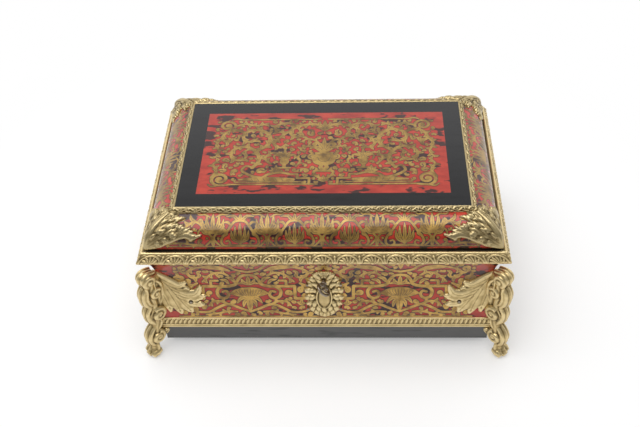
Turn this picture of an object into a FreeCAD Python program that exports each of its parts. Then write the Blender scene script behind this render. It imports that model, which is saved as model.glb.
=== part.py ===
import FreeCAD
import Part
import math
import os
from collections import namedtuple

# A marquetry casket with a hinged lid: an ogee body of veneered boards on a plinth, gilt mouldings and
# corner mounts, and a box lock with its key. Lengths are in millimetres and angles in degrees. The origin
# is on the floor under the middle of the box, +Z is up and the front faces -Y. An "inset" is a distance
# inwards from the outer face of the rim moulding, which is the widest moulding of the box.

# Overall plan
rim_width = 360.0
rim_depth = 240.0

# Clearances
overrun = 5.0
lid_gap = 0.2
running_fit = 0.1
sliding_gap = 0.3

# Plinth rails under the walls
plinth_clearance = 8.0
plinth_height = 26.0
plinth_inset = 11.0
plinth_rail_width = 24.0

# Walls, bottom board and lining
wall_inner_inset = 26.0
bottom_thickness = 6.0
lining_thickness = 2.0
veneer_thickness = 1.2

# Ogee of the walls, from the base moulding up to the joint with the lid
ogee_foot_inset = 6.5
ogee_waist_inset = 13.0
ogee_top_inset = 5.5
ogee_belly_height = 54.0
ogee_hollow_height = 30.0

# Base moulding round the foot of the walls
base_moulding_height = 12.0
base_moulding_inset = 4.0
base_fillet_height = 4.0
base_step = 0.8
base_lip = 0.7
base_bow_share = 0.10

# Rim moulding round the foot of the lid
rim_height = 12.5
rim_nose_height = 3.3
rim_nose_reach = 1.0
rim_seat_height = 8.8
rim_lip_inset = 4.5
rim_lip_width = 1.8
rim_nose_bow_share = 0.15
rim_hollow_bow_share = -0.08

# Lid rails with their quarter-round veneer, and the board that closes them
fillet_inset = 8.7
fillet_height = 13.8
ovolo_radius = 26.0
lid_rail_height = 33.0

# Gilt frame round the lid's top panel
frame_outer_inset = 31.4
frame_width = 6.3
frame_height = 6.4
frame_edge_height = 2.0
frame_step = 0.6
frame_crown_width = 2.4
frame_rebate_width = 2.2
frame_chamfer = 0.9
frame_bow_share = 0.14

# Ebonised top panel and the marquetry let into it
panel_recess = 1.3
panel_border = 17.6

# Corner mounts: a scrolled leg on each corner with a leaf along either face
leg_reach = 11.5
leg_width = 12.0
leg_web_width = 9.0
leg_web_depth = 16.0
volute_eye_height = 1.0
leaf_reach = 57.0
leaf_thickness = 2.6
leaf_top_drop = 12.0
leg_top_drop = 8.5

# Corner mounts of the lid
lid_mount_front_reach = 56.0
lid_mount_side_reach = 40.0
lid_mount_thickness = 2.4
lid_mount_rib_thickness = 4.6
lid_mount_rib_reach = 17.0

# Pins that hold the mounts
pin_radius = 0.8
pin_head_radius = 1.4
pin_head_height = 0.7
pin_length = 9.0

# Escutcheon
escutcheon_width = 40.0
escutcheon_height = 62.0
escutcheon_thickness = 2.2
escutcheon_rim_thickness = 4.4
escutcheon_rim_width = 6.0
escutcheon_foot_rise = 1.0
escutcheon_pin_edge = 3.2

# Lock
key_drop = 32.0
lock_drop = 12.0
lock_depth = 8.0
lock_plate = 1.4
selvedge_margin = 7.0
selvedge_depth = 9.6
selvedge_thickness = 1.6
key_throw_angle = 90.0
bolt_throw = 9.0
bolt_bar_height = 6.4
bolt_bar_length = 22.0
bolt_notch_width = 5.2
bolt_arm_width = 6.0
bolt_nose_height = 3.0
bolt_nose_reach = 11.0

# Key
shank_radius = 2.0
bit_reach = 8.0
bit_thickness = 2.0
bit_length = 4.0
collar_radius = 3.2
collar_length = 2.4
bow_width = 17.0
bow_length = 15.0
bow_thickness = 2.8
bow_hole_radius = 1.9
bow_hole_spread = 2.7
bow_hole_count = 3
key_projection = 21.0

# Strike with its hook on the lid
strike_depth = 7.6
strike_thickness = 1.6
hook_thickness = 3.0
hook_stem_width = 3.0
hook_toe_height = 3.7
hook_toe_gap = 1.5
hook_slot_gap = 0.7

# Hinges
hinge_spread = 190.0
hinge_length = 46.0
hinge_leaf_width = 22.0
hinge_leaf_thickness = 1.6
knuckle_radius = 2.0
knuckle_clearance = 0.4
hinge_pin_radius = 0.9

# Screws
screw_radius = 0.9
screw_head_radius = 2.0
screw_head_height = 0.8
screw_length = 7.0
lock_screw_length = 10.5
screw_edge = 4.5

# Outlines as shares, chosen by hand, of the sizes that they follow

# The leg as a chain of rings: outward share of leg_reach, height share of the leg, radius share of leg_reach
leg_ring_shares = [
    (-0.52, 0.930, 0.70),
    (-0.78, 0.832, 0.39),
    (-0.13, 0.750, 0.43),
    (-0.39, 0.625, 0.43),
    (-0.26, 0.477, 0.70),
    (-0.35, 0.342, 0.38),
    (0.13, 0.206, 0.65),
    (0.35, 0.107, 0.42),
    (0.52, 0.041, 0.52),
]
# Rings that are volutes with a raised eye, and the eye's share of the ring's radius
leg_volutes = [0, 2, 4, 6]
volute_eye_share = 0.45
# Rings lower than this share of the leg's height stand clear of the web
web_foot_share = 0.10
# The leaf on a face: share of leaf_reach along it from the corner, share of the leaf's height
leaf_outline_shares = [
    (0.04, 0.99), (0.18, 1.00), (0.32, 0.92), (0.46, 0.84), (0.60, 0.80), (0.72, 0.70), (0.64, 0.60),
    (0.80, 0.57), (0.98, 0.52), (1.00, 0.38), (0.94, 0.22), (0.80, 0.12), (0.56, 0.03), (0.44, 0.10),
    (0.28, 0.16), (0.04, 0.14),
]
leaf_pin_share = (0.78, 0.34)
# The leaf on the lid: share of its reach along the face from the corner, share of the quarter round's rise
lid_leaf_shares = [
    (0.10, 0.00), (0.26, 0.10), (0.44, 0.22), (0.62, 0.30), (0.82, 0.36), (1.00, 0.48), (0.92, 0.66),
    (0.78, 0.70), (0.72, 0.84), (0.60, 0.98), (0.40, 1.02), (0.10, 1.02),
]
# The rib down the lid's corner: share of the rib's reach along the face, share of the quarter round's rise
lid_rib_shares = [(0.30, 0.00), (0.75, 0.05), (0.95, 0.30), (1.30, 0.62), (1.95, 1.02), (0.30, 1.02)]
# The escutcheon's half outline from its foot to its crest: shares of its half width and of its height
escutcheon_shares = [
    (0.30, 0.02), (0.62, 0.08), (0.80, 0.20), (0.98, 0.34), (0.92, 0.50), (1.00, 0.64), (0.82, 0.80),
    (0.52, 0.90), (0.34, 0.99),
]
escutcheon_pin_shares = [0.26, 0.74]

# Levels and places worked out from the sizes above
base_level = plinth_clearance + plinth_height
ogee_foot_level = base_level + base_moulding_height
waist_level = ogee_foot_level + ogee_belly_height
joint_level = waist_level + ogee_hollow_height
lid_level = joint_level + lid_gap
floor_level = base_level + bottom_thickness
lining_level = floor_level + lining_thickness
key_level = joint_level - key_drop
ovolo_level = lid_level + fillet_height
lid_rail_top = lid_level + lid_rail_height
leg_height = joint_level - leg_top_drop
section_reach = max(plinth_inset + plinth_rail_width, frame_outer_inset + frame_width) + overrun

Side = namedtuple("Side", "name turn span run")
Corner = namedtuple("Corner", "name place way side other")
half_width = rim_width / 2
half_depth = rim_depth / 2
sides = [
    Side("front", 0, half_depth, half_width),
    Side("right", 90, half_width, half_depth),
    Side("back", 180, half_depth, half_width),
    Side("left", 270, half_width, half_depth),
]
front = sides[0]
back = sides[2]
up = FreeCAD.Vector(0, 0, 1)
outward = FreeCAD.Vector(0, -1, 0)
origin = FreeCAD.Vector(0, 0, 0)


# Helpers for outlines: an outline is a list of points, where a pair of points is an arc's middle and end

def bowed(start, end, share):
    """The arc from start to end whose middle stands to the left of the chord by a share of its length."""
    along = end[0] - start[0]
    rise = end[1] - start[1]
    middle = ((start[0] + end[0]) / 2 - rise * share, (start[1] + end[1]) / 2 + along * share)
    return (middle, end)


def face_of(outline, place):
    """The flat face inside a closed outline, each of whose points place() puts in space."""
    edges = []
    here = outline[0]
    for step in outline[1:] + [outline[0]]:
        is_arc = isinstance(step[0], tuple)
        end = step[1] if is_arc else step
        if is_arc:
            edges.append(Part.Arc(place(here), place(step[0]), place(end)).toShape())
        elif place(here).distanceToPoint(place(end)) > 0:
            edges.append(Part.LineSegment(place(here), place(end)).toShape())
        here = end
    return Part.Face(Part.Wire(edges))


def curve_face(points, place):
    """The flat face inside a smooth closed curve through the points."""
    curve = Part.BSplineCurve()
    curve.interpolate([place(point) for point in points], True)
    return Part.Face(Part.Wire([curve.toShape()]))


def block(x_low, x_high, y_low, y_high, z_low, z_high):
    """A box between two corners."""
    corner = FreeCAD.Vector(x_low, y_low, z_low)
    return Part.makeBox(x_high - x_low, y_high - y_low, z_high - z_low, corner)


def turned(shape, side):
    """A shape made as for the front, turned to its own side of the box."""
    copy = shape.copy()
    copy.rotate(origin, up, side.turn)
    return copy


def front_y(inset):
    return -(half_depth - inset)


# Helpers for the mitred bars that go round the box

def mitre_prism(side):
    """The wedge of space that belongs to a side, between the two 45-degree mitres."""
    wide = side.run + overrun
    narrow = side.run - section_reach
    corners = [
        FreeCAD.Vector(-wide, -(side.span + overrun), -overrun),
        FreeCAD.Vector(wide, -(side.span + overrun), -overrun),
        FreeCAD.Vector(narrow, -(side.span - section_reach), -overrun),
        FreeCAD.Vector(-narrow, -(side.span - section_reach), -overrun),
    ]
    tall = lid_rail_top + frame_height + ovolo_radius
    return Part.Face(Part.makePolygon(corners + corners[:1])).extrude(up * tall)


def local_bar(side, outline):
    """A mitred bar in the front's place, from an outline of (inset, level) points."""
    reach = side.run + overrun

    def place(point):
        return FreeCAD.Vector(-reach, -(side.span - point[0]), point[1])

    bar = face_of(outline, place).extrude(FreeCAD.Vector(reach + reach, 0, 0))
    return bar.common(mitre_prism(side))


def bar_on(side, outline):
    return turned(local_bar(side, outline), side)


# The ogee of the walls and the quarter round of the lid, at any depth under the veneer's outer face

hollow_radius = (
    (ogee_hollow_height ** 2 + (ogee_waist_inset - ogee_top_inset) ** 2)
    / (2 * (ogee_waist_inset - ogee_top_inset))
)
belly_inset = ogee_waist_inset - ogee_foot_inset
radii_together = (belly_inset ** 2 + ogee_belly_height ** 2) / (2 * belly_inset)
belly_radius = radii_together - hollow_radius
swing_angle = math.asin(ogee_belly_height / radii_together)


def hollow_point(angle, depth):
    radius = hollow_radius + depth
    return (
        ogee_waist_inset - hollow_radius + radius * math.cos(angle),
        waist_level + radius * math.sin(angle),
    )


def belly_point(angle, depth):
    radius = belly_radius - depth
    return (
        ogee_foot_inset + belly_radius - radius * math.cos(angle),
        ogee_foot_level + radius * math.sin(angle),
    )


def ogee_down(depth):
    """The ogee from the joint down to its foot."""
    top_angle = math.asin(ogee_hollow_height / (hollow_radius + depth))
    swing = hollow_point(-swing_angle, depth)
    return [
        hollow_point(top_angle, depth),
        (hollow_point((top_angle - swing_angle) / 2, depth), swing),
        (belly_point(swing_angle / 2, depth), belly_point(0, depth)),
    ]


def ogee_up(depth):
    """The ogee from its foot up to the joint."""
    top_angle = math.asin(ogee_hollow_height / (hollow_radius + depth))
    swing = hollow_point(-swing_angle, depth)
    return [
        belly_point(0, depth),
        (belly_point(swing_angle / 2, depth), swing),
        (hollow_point((top_angle - swing_angle) / 2, depth), hollow_point(top_angle, depth)),
    ]


def ogee_inset(level, depth):
    """The ogee's inset at a level between its foot and the joint."""
    swing_level = hollow_point(-swing_angle, depth)[1]
    if level > swing_level:
        angle = math.asin((level - waist_level) / (hollow_radius + depth))
        return hollow_point(angle, depth)[0]
    angle = math.asin((level - ogee_foot_level) / (belly_radius - depth))
    return belly_point(angle, depth)[0]


def ovolo_point(angle, depth):
    radius = ovolo_radius - depth
    return (
        fillet_inset + ovolo_radius - radius * math.cos(angle),
        ovolo_level + radius * math.sin(angle),
    )


def ovolo_angle_at_inset(inset, depth):
    return math.acos((fillet_inset + ovolo_radius - inset) / (ovolo_radius - depth))


def ovolo_angle_at_level(level, depth):
    return math.asin((level - ovolo_level) / (ovolo_radius - depth))


def ovolo_arc(first_angle, last_angle, depth):
    """The arc step of the quarter round up or down between two angles."""
    return (ovolo_point((first_angle + last_angle) / 2, depth), ovolo_point(last_angle, depth))


board_top = ovolo_point(ovolo_angle_at_inset(frame_outer_inset, veneer_thickness), veneer_thickness)[1]
frame_top = board_top + frame_height
panel_top = frame_top - panel_recess
ovolo_rise = ovolo_point(ovolo_angle_at_inset(frame_outer_inset, 0), 0)[1] - ovolo_level


# Case: walls, veneers, plinth, bottom, base mouldings and lining

def wall_outline():
    seat_inset = ogee_foot_inset + veneer_thickness
    return ogee_down(veneer_thickness) + [
        (seat_inset, base_level),
        (wall_inner_inset, base_level),
        (wall_inner_inset, joint_level),
    ]


def veneer_outline():
    return ogee_down(0) + ogee_up(veneer_thickness)


def plinth_outline():
    inner = plinth_inset + plinth_rail_width
    return [
        (plinth_inset, plinth_clearance),
        (inner, plinth_clearance),
        (inner, base_level),
        (plinth_inset, base_level),
    ]


def base_moulding_outline():
    seat_inset = ogee_foot_inset + veneer_thickness
    fillet_level = base_level + base_fillet_height
    step = (base_moulding_inset + base_step, fillet_level)
    lip = (ogee_foot_inset - base_lip, ogee_foot_level)
    return [
        (seat_inset, base_level),
        (base_moulding_inset, base_level),
        (base_moulding_inset, fillet_level),
        step,
        bowed(step, lip, base_bow_share),
        (seat_inset, ogee_foot_level),
    ]


def bottom_board():
    reach_x = half_width - wall_inner_inset
    reach_y = half_depth - wall_inner_inset
    return block(-reach_x, reach_x, -reach_y, reach_y, base_level, floor_level)


def lining_boards():
    """The floor and the four upright boards of the lining, as separate solids."""
    reach_x = half_width - wall_inner_inset
    reach_y = half_depth - wall_inner_inset
    boards = [block(-reach_x, reach_x, -reach_y, reach_y, floor_level, lining_level)]
    inner = wall_inner_inset + lining_thickness
    upright = [
        (wall_inner_inset, lining_level),
        (inner, lining_level),
        (inner, joint_level),
        (wall_inner_inset, joint_level),
    ]
    for side in sides:
        board = bar_on(side, upright)
        if side is front:
            board = board.cut(lock_window())
        boards.append(board)
    return boards


# Lock, key and strike

lock_bottom = key_level - lock_drop
lock_face_inset = wall_inner_inset - lock_depth
cavity_front = lock_face_inset + lock_plate
cavity_back = wall_inner_inset - lock_plate
cavity_middle = (cavity_front + cavity_back) / 2
selvedge_level = joint_level - selvedge_thickness
bolt_thickness = cavity_back - cavity_front - 2 * sliding_gap
bolt_floor = key_level + bit_reach * math.cos(math.radians(key_throw_angle / 2)) - bit_thickness / 2
bolt_top = bolt_floor + bolt_bar_height
notch_top = key_level + bit_reach + sliding_gap
nose_top = selvedge_level - bolt_nose_height
nose_floor = nose_top - bolt_nose_height
notch_middle = -bolt_throw / 2
arm_left = notch_middle - bolt_arm_width / 2
arm_right = notch_middle + bolt_arm_width / 2
nose_tip = arm_right + bolt_nose_reach
toe_tip = nose_tip + hook_toe_gap
stem_left = nose_tip + bolt_throw + sliding_gap
stem_right = stem_left + hook_stem_width
toe_top = nose_floor - sliding_gap
toe_floor = toe_top - hook_toe_height
lock_screw_reach = stem_right + hook_slot_gap + screw_head_radius
lock_width = 2 * (lock_screw_reach + screw_edge)
selvedge_length = lock_width + 2 * selvedge_margin
cavity_half_width = lock_width / 2 - lock_plate


def lock_window():
    """The space of the lock's body, open to the inside of the box."""
    return block(
        -lock_width / 2, lock_width / 2,
        front_y(lock_face_inset), front_y(wall_inner_inset + lining_thickness + overrun),
        lock_bottom, joint_level + overrun,
    )


def selvedge_block():
    return block(
        -selvedge_length / 2, selvedge_length / 2,
        front_y(wall_inner_inset - selvedge_depth), front_y(wall_inner_inset),
        selvedge_level, joint_level,
    )


def keyhole(depth_low, depth_high):
    """The keyhole between two insets: a round hole with a slot for the bit below it."""
    radius = shank_radius + running_fit
    start = FreeCAD.Vector(0, front_y(depth_high), key_level)
    hole = Part.makeCylinder(radius, depth_high - depth_low, start, outward)
    half_slot = bit_thickness / 2 + sliding_gap
    slot = block(
        -half_slot, half_slot, front_y(depth_low), front_y(depth_high),
        key_level - bit_reach - sliding_gap, key_level,
    )
    return hole.fuse(slot)


def hook_slot():
    half_slot = hook_thickness / 2 + hook_slot_gap
    return block(
        toe_tip - hook_slot_gap, stem_right + hook_slot_gap,
        front_y(cavity_middle - half_slot), front_y(cavity_middle + half_slot),
        selvedge_level - overrun, joint_level + overrun,
    )


def lock_body():
    outside = block(
        -lock_width / 2, lock_width / 2, front_y(lock_face_inset), front_y(cavity_back),
        lock_bottom, selvedge_level,
    )
    cavity = block(
        -cavity_half_width, cavity_half_width, front_y(cavity_front), front_y(cavity_back + overrun),
        lock_bottom + lock_plate, selvedge_level,
    )
    body = outside.cut(cavity).fuse(selvedge_block()).cut(hook_slot())
    return body.cut(keyhole(lock_face_inset - overrun, cavity_front)).removeSplitter()


def lock_cover():
    plate = block(
        -lock_width / 2, lock_width / 2, front_y(cavity_back), front_y(wall_inner_inset),
        lock_bottom, selvedge_level,
    )
    nose_hole = Part.makeCylinder(
        shank_radius + running_fit, wall_inner_inset - cavity_back,
        FreeCAD.Vector(0, front_y(wall_inner_inset), key_level), outward,
    )
    return plate.cut(nose_hole)


def lock_bolt():
    """The bolt with its notch for the bit, drawn back, clear of the hook."""
    notch_left = notch_middle - bolt_notch_width / 2
    notch_right = notch_middle + bolt_notch_width / 2
    bar_left = notch_middle - bolt_bar_length / 2
    bar_right = notch_middle + bolt_bar_length / 2
    outline = [
        (bar_left, bolt_floor), (notch_left, bolt_floor), (notch_left, notch_top), (notch_right, notch_top),
        (notch_right, bolt_floor), (bar_right, bolt_floor), (bar_right, bolt_top), (arm_right, bolt_top),
        (arm_right, nose_floor), (nose_tip, nose_floor), (nose_tip, nose_top), (arm_left, nose_top),
        (arm_left, bolt_top), (bar_left, bolt_top),
    ]

    def place(point):
        return FreeCAD.Vector(point[0], front_y(cavity_back - sliding_gap), point[1])

    return face_of(outline, place).extrude(outward * bolt_thickness)


def strike_plate():
    """The plate under the lid's front rail, as long as the selvedge, with the hook that the bolt catches."""
    plate = block(
        -selvedge_length / 2, selvedge_length / 2,
        front_y(cavity_middle - strike_depth / 2), front_y(cavity_middle + strike_depth / 2),
        lid_level, lid_level + strike_thickness,
    )
    outline = [
        (toe_tip, toe_floor), (stem_right, toe_floor), (stem_right, lid_level), (stem_left, lid_level),
        (stem_left, toe_top), (toe_tip, toe_top),
    ]

    def place(point):
        return FreeCAD.Vector(point[0], front_y(cavity_middle + hook_thickness / 2), point[1])

    return plate.fuse(face_of(outline, place).extrude(outward * hook_thickness)).removeSplitter()


def key_solid():
    """The key in the lock, its bit and bow turned half the throw to the left of upright."""
    face_inset = ogee_inset(key_level, 0) - escutcheon_thickness
    end_y = front_y(face_inset) - key_projection
    bow_y = end_y + bow_length / 2
    root_y = end_y + bow_length
    nose_y = front_y(wall_inner_inset)
    shank = Part.makeCylinder(
        shank_radius, nose_y - bow_y, FreeCAD.Vector(0, nose_y, key_level), outward,
    )
    collar = Part.makeCylinder(
        collar_radius, collar_length, FreeCAD.Vector(0, root_y + collar_length / 2, key_level), outward,
    )
    bit_y = front_y(cavity_middle)
    bit = block(
        -bit_thickness / 2, bit_thickness / 2, bit_y - bit_length / 2, bit_y + bit_length / 2,
        key_level, key_level + bit_reach,
    )
    bow_start = FreeCAD.Vector(-bow_thickness / 2, bow_y, key_level)
    across = FreeCAD.Vector(1, 0, 0)
    long_way = FreeCAD.Vector(0, 0, bow_width / 2)
    short_way = FreeCAD.Vector(0, bow_length / 2, 0)
    oval = Part.Ellipse(bow_start + long_way, bow_start + short_way, bow_start)
    bow = Part.Face(Part.Wire([oval.toShape()])).extrude(across * bow_thickness)
    key = shank.multiFuse([collar, bit, bow])
    for turn in range(bow_hole_count):
        angle = 2 * math.pi * turn / bow_hole_count
        centre = bow_start - short_way * (math.cos(angle) * 2 * bow_hole_spread / bow_length)
        centre = centre + long_way * (math.sin(angle) * 2 * bow_hole_spread / bow_width) - across * overrun
        hole = Part.makeCylinder(bow_hole_radius, bow_thickness + 2 * overrun, centre, across)
        key = key.cut(hole)
    key = key.removeSplitter()
    key.rotate(FreeCAD.Vector(0, 0, key_level), FreeCAD.Vector(0, 1, 0), -key_throw_angle / 2)
    return key


# Hinges

hinge_axis_y = half_depth + knuckle_radius + knuckle_clearance
hinge_axis_level = joint_level
knuckle_length = hinge_length / 4
hinge_places = {"left": -hinge_spread / 2, "right": hinge_spread / 2}
leaf_end_y = half_depth - knuckle_clearance / 2


def knuckle(x_low, x_high, bore):
    """A length of hinge barrel with the bore for its pin."""
    start = FreeCAD.Vector(x_low, hinge_axis_y, hinge_axis_level)
    along = FreeCAD.Vector(1, 0, 0)
    barrel = Part.makeCylinder(knuckle_radius, x_high - x_low, start, along)
    return barrel.cut(Part.makeCylinder(bore, x_high - x_low, start, along))


def hinge_pin(x):
    start = FreeCAD.Vector(x - hinge_length / 2, hinge_axis_y, hinge_axis_level)
    return Part.makeCylinder(hinge_pin_radius, hinge_length, start, FreeCAD.Vector(1, 0, 0))


def hinge_knuckles(x):
    """The spans along X of the case's two knuckles and, between them, the lid's."""
    low = x - hinge_length / 2
    high = x + hinge_length / 2
    case_spans = [(low, low + knuckle_length), (high - knuckle_length, high)]
    lid_span = (low + knuckle_length + running_fit, high - knuckle_length - running_fit)
    return case_spans, lid_span


def leaf_plate(x, level):
    return block(
        x - hinge_length / 2, x + hinge_length / 2, leaf_end_y - hinge_leaf_width, leaf_end_y,
        level, level + hinge_leaf_thickness,
    )


def case_leaf_plate(x):
    return leaf_plate(x, joint_level - hinge_leaf_thickness)


def lid_leaf_plate(x):
    return leaf_plate(x, lid_level)


def case_leaf(x):
    leaf = case_leaf_plate(x)
    for low, high in hinge_knuckles(x)[0]:
        tongue = block(
            low, high, leaf_end_y, hinge_axis_y, joint_level - hinge_leaf_thickness, joint_level,
        )
        bore = Part.makeCylinder(
            hinge_pin_radius, high - low, FreeCAD.Vector(low, hinge_axis_y, hinge_axis_level),
            FreeCAD.Vector(1, 0, 0),
        )
        leaf = leaf.fuse(tongue).fuse(knuckle(low, high, hinge_pin_radius)).cut(bore)
    return leaf.removeSplitter()


def lid_leaf(x):
    low, high = hinge_knuckles(x)[1]
    bore_radius = hinge_pin_radius + running_fit / 2
    tongue = block(low, high, leaf_end_y, hinge_axis_y, lid_level, lid_level + hinge_leaf_thickness)
    bore = Part.makeCylinder(
        bore_radius, high - low, FreeCAD.Vector(low, hinge_axis_y, hinge_axis_level),
        FreeCAD.Vector(1, 0, 0),
    )
    leaf = lid_leaf_plate(x).fuse(tongue).fuse(knuckle(low, high, bore_radius)).cut(bore)
    return leaf.removeSplitter()


# Screws and pins, each a head and a shank

def screw(head, way, length):
    """A screw whose head's outer face is at head and whose shank points along way."""
    head_solid = Part.makeCylinder(screw_head_radius, screw_head_height, head, way)
    return head_solid.fuse(Part.makeCylinder(screw_radius, length, head, way)).removeSplitter()


def hinge_screws(level, way):
    screws = []
    for x in hinge_places.values():
        for shift in (-1, 0, 1):
            across = shift * (hinge_length / 2 - screw_edge)
            y = leaf_end_y - hinge_leaf_width + screw_edge
            screws.append(screw(FreeCAD.Vector(x + across, y, level), way, screw_length))
    return screws


def lock_screws():
    screws = []
    for across in (-1, 1):
        for level in (lock_bottom + screw_edge, selvedge_level - screw_edge):
            head = FreeCAD.Vector(across * lock_screw_reach, front_y(wall_inner_inset), level)
            screws.append(screw(head, outward, lock_screw_length))
    return screws


def strike_screws():
    reach = selvedge_length / 2 - screw_edge
    heads = [FreeCAD.Vector(x, front_y(cavity_middle), lid_level) for x in (-reach, reach)]
    return [screw(head, up, screw_length) for head in heads]


def front_pin(x, level, cover):
    """A round-headed pin into the front at a level, through a mount of the given thickness."""
    face_y = front_y(ogee_inset(level, 0) - cover)
    start = FreeCAD.Vector(x, face_y, level)
    head = Part.makeCylinder(pin_head_radius, pin_head_height, start, outward)
    shank = Part.makeCylinder(pin_radius, pin_length, start, outward * -1)
    return head.fuse(shank).removeSplitter()


def pin_on(side, x, level, cover):
    pin = front_pin(x, level, cover)
    pin.translate(FreeCAD.Vector(0, half_depth - side.span, 0))
    return turned(pin, side)


# Corner mounts of the case

def corner_of(index):
    """A corner with its place on plan, the way outwards along its diagonal, and its two sides."""
    side = sides[index]
    other = sides[index - 1]
    name = ["front_left", "front_right", "back_right", "back_left"][index]
    x_sign = -1 if "left" in name else 1
    y_sign = -1 if "front" in name else 1
    place = FreeCAD.Vector(x_sign * half_width, y_sign * half_depth, 0)
    way = FreeCAD.Vector(x_sign, y_sign, 0).normalize()
    return Corner(name, place, way, side, other)


def leg_rings():
    """The rings of the leg's outline: outward distance, level and radius."""
    return [
        (out * leg_reach, level * leg_height, radius * leg_reach) for out, level, radius in leg_ring_shares
    ]


def ring_link(first, second):
    """The four points where the two outer tangents touch a pair of rings."""
    gap = math.hypot(second[0] - first[0], second[1] - first[1])
    lean = math.atan2(second[1] - first[1], second[0] - first[0])
    spread = math.acos((first[2] - second[2]) / gap)
    points = []
    for ring, turn in ((first, 1), (second, 1), (second, -1), (first, -1)):
        angle = lean + turn * spread
        points.append((ring[0] + ring[2] * math.cos(angle), ring[1] + ring[2] * math.sin(angle)))
    return points


def corner_leg(place_on_plan, way):
    """The scrolled leg: a chain of rings down the corner, backed by a web that meets the case."""
    across = up.cross(way)

    def place_at(shift):
        def place(point):
            return place_on_plan + way * point[0] + up * point[1] + across * shift
        return place

    rings = leg_rings()
    solids = []
    for number, (out, level, radius) in enumerate(rings):
        start = place_at(-leg_width / 2)((out, level))
        solids.append(Part.makeCylinder(radius, leg_width, start, across))
        if number in leg_volutes:
            eye_start = place_at(-leg_width / 2 - volute_eye_height)((out, level))
            eye_length = leg_width + 2 * volute_eye_height
            solids.append(Part.makeCylinder(radius * volute_eye_share, eye_length, eye_start, across))
    for first, second in zip(rings, rings[1:]):
        link = face_of(ring_link(first, second), place_at(-leg_width / 2))
        solids.append(link.extrude(across * leg_width))
    spine = [(out, level) for out, level, radius in rings if level > web_foot_share * leg_height]
    inner = [(out - leg_web_depth, level) for out, level in reversed(spine)]
    web = face_of(spine + inner, place_at(-leg_web_width / 2))
    solids.append(web.extrude(across * leg_web_width))
    leg = solids[0].multiFuse(solids[1:]).removeSplitter()
    room = leg_reach + leg_web_depth + leg_width
    ground = block(
        place_on_plan.x - room, place_on_plan.x + room, place_on_plan.y - room, place_on_plan.y + room,
        -room, 0,
    )
    return leg.cut(ground)


leaf_height = joint_level - leaf_top_drop - ogee_foot_level


def face_leaf(side, end, outline, strip, depth):
    """A piece of a strip on a side, inside a smooth outline of (distance from the corner, level) points."""
    def place(point):
        return FreeCAD.Vector(end * (side.run - point[0]), -(side.span + overrun), point[1])

    window = curve_face(outline, place).extrude(FreeCAD.Vector(0, depth, 0))
    return turned(local_bar(side, strip).common(window), side)


def leaf_outline():
    return [
        (along * leaf_reach, ogee_foot_level + level * leaf_height) for along, level in leaf_outline_shares
    ]


def corner_mount(index, case_shapes):
    """A leg and its two leaves as one casting, hollowed to sit on the case."""
    corner = corner_of(index)
    strip = ogee_down(-leaf_thickness) + ogee_up(0)
    depth = wall_inner_inset + overrun
    casting = corner_leg(corner.place, corner.way)
    leaves = [
        face_leaf(corner.side, -1, leaf_outline(), strip, depth),
        face_leaf(corner.other, 1, leaf_outline(), strip, depth),
    ]
    casting = casting.multiFuse(leaves)
    casting = casting.cut(case_shapes).removeSplitter()
    return max(casting.Solids, key=lambda solid: solid.Volume)


def mount_pin_places():
    """Side, place along it and level of each pin through a corner mount's leaves."""
    along = leaf_pin_share[0] * leaf_reach
    level = ogee_foot_level + leaf_pin_share[1] * leaf_height
    return [(side, end * (side.run - along), level) for side in sides for end in (-1, 1)]


# Escutcheon

escutcheon_foot = ogee_foot_level + escutcheon_foot_rise


def escutcheon_outline(shrink):
    """The outline of the escutcheon, drawn in by a distance all round."""
    half = escutcheon_width / 2 - shrink
    tall = escutcheon_height - 2 * shrink
    foot = escutcheon_foot + shrink
    right = [(across * half, foot + level * tall) for across, level in escutcheon_shares]
    left = [(-across, level) for across, level in reversed(right)]
    return right + left


def escutcheon():
    def place(point):
        return FreeCAD.Vector(point[0], -(half_depth + overrun), point[1])

    depth = FreeCAD.Vector(0, wall_inner_inset + overrun, 0)
    whole = curve_face(escutcheon_outline(0), place).extrude(depth)
    middle = curve_face(escutcheon_outline(escutcheon_rim_width), place).extrude(depth)
    plate = local_bar(front, ogee_down(-escutcheon_thickness) + ogee_up(0)).common(whole)
    rim = local_bar(front, ogee_down(-escutcheon_rim_thickness) + ogee_up(0)).common(whole.cut(middle))
    return plate.fuse(rim).cut(keyhole(-overrun, wall_inner_inset)).removeSplitter()


def escutcheon_pins():
    pins = []
    for share in escutcheon_pin_shares:
        level = escutcheon_foot + share * escutcheon_height
        x = escutcheon_width / 2 - escutcheon_pin_edge
        for end in (-1, 1):
            pins.append(front_pin(end * x, level, escutcheon_rim_thickness))
    return pins


# Lid: rails, veneers, board, panel, mouldings and mounts

def lid_rail_outline():
    top_angle = ovolo_angle_at_level(lid_rail_top, veneer_thickness)
    return [
        (fillet_inset, lid_level),
        (fillet_inset, ovolo_level),
        ovolo_point(0, veneer_thickness),
        ovolo_arc(0, top_angle, veneer_thickness),
        (wall_inner_inset, lid_rail_top),
        (wall_inner_inset, lid_level),
    ]


def ovolo_strip(outer_depth, inner_depth):
    """A strip along the quarter round between two depths, ending at the gilt frame."""
    outer_top = ovolo_angle_at_inset(frame_outer_inset, outer_depth)
    inner_top = ovolo_angle_at_inset(frame_outer_inset, inner_depth)
    return [
        ovolo_point(0, outer_depth),
        ovolo_arc(0, outer_top, outer_depth),
        ovolo_point(inner_top, inner_depth),
        ovolo_arc(inner_top, 0, inner_depth),
    ]


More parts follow.
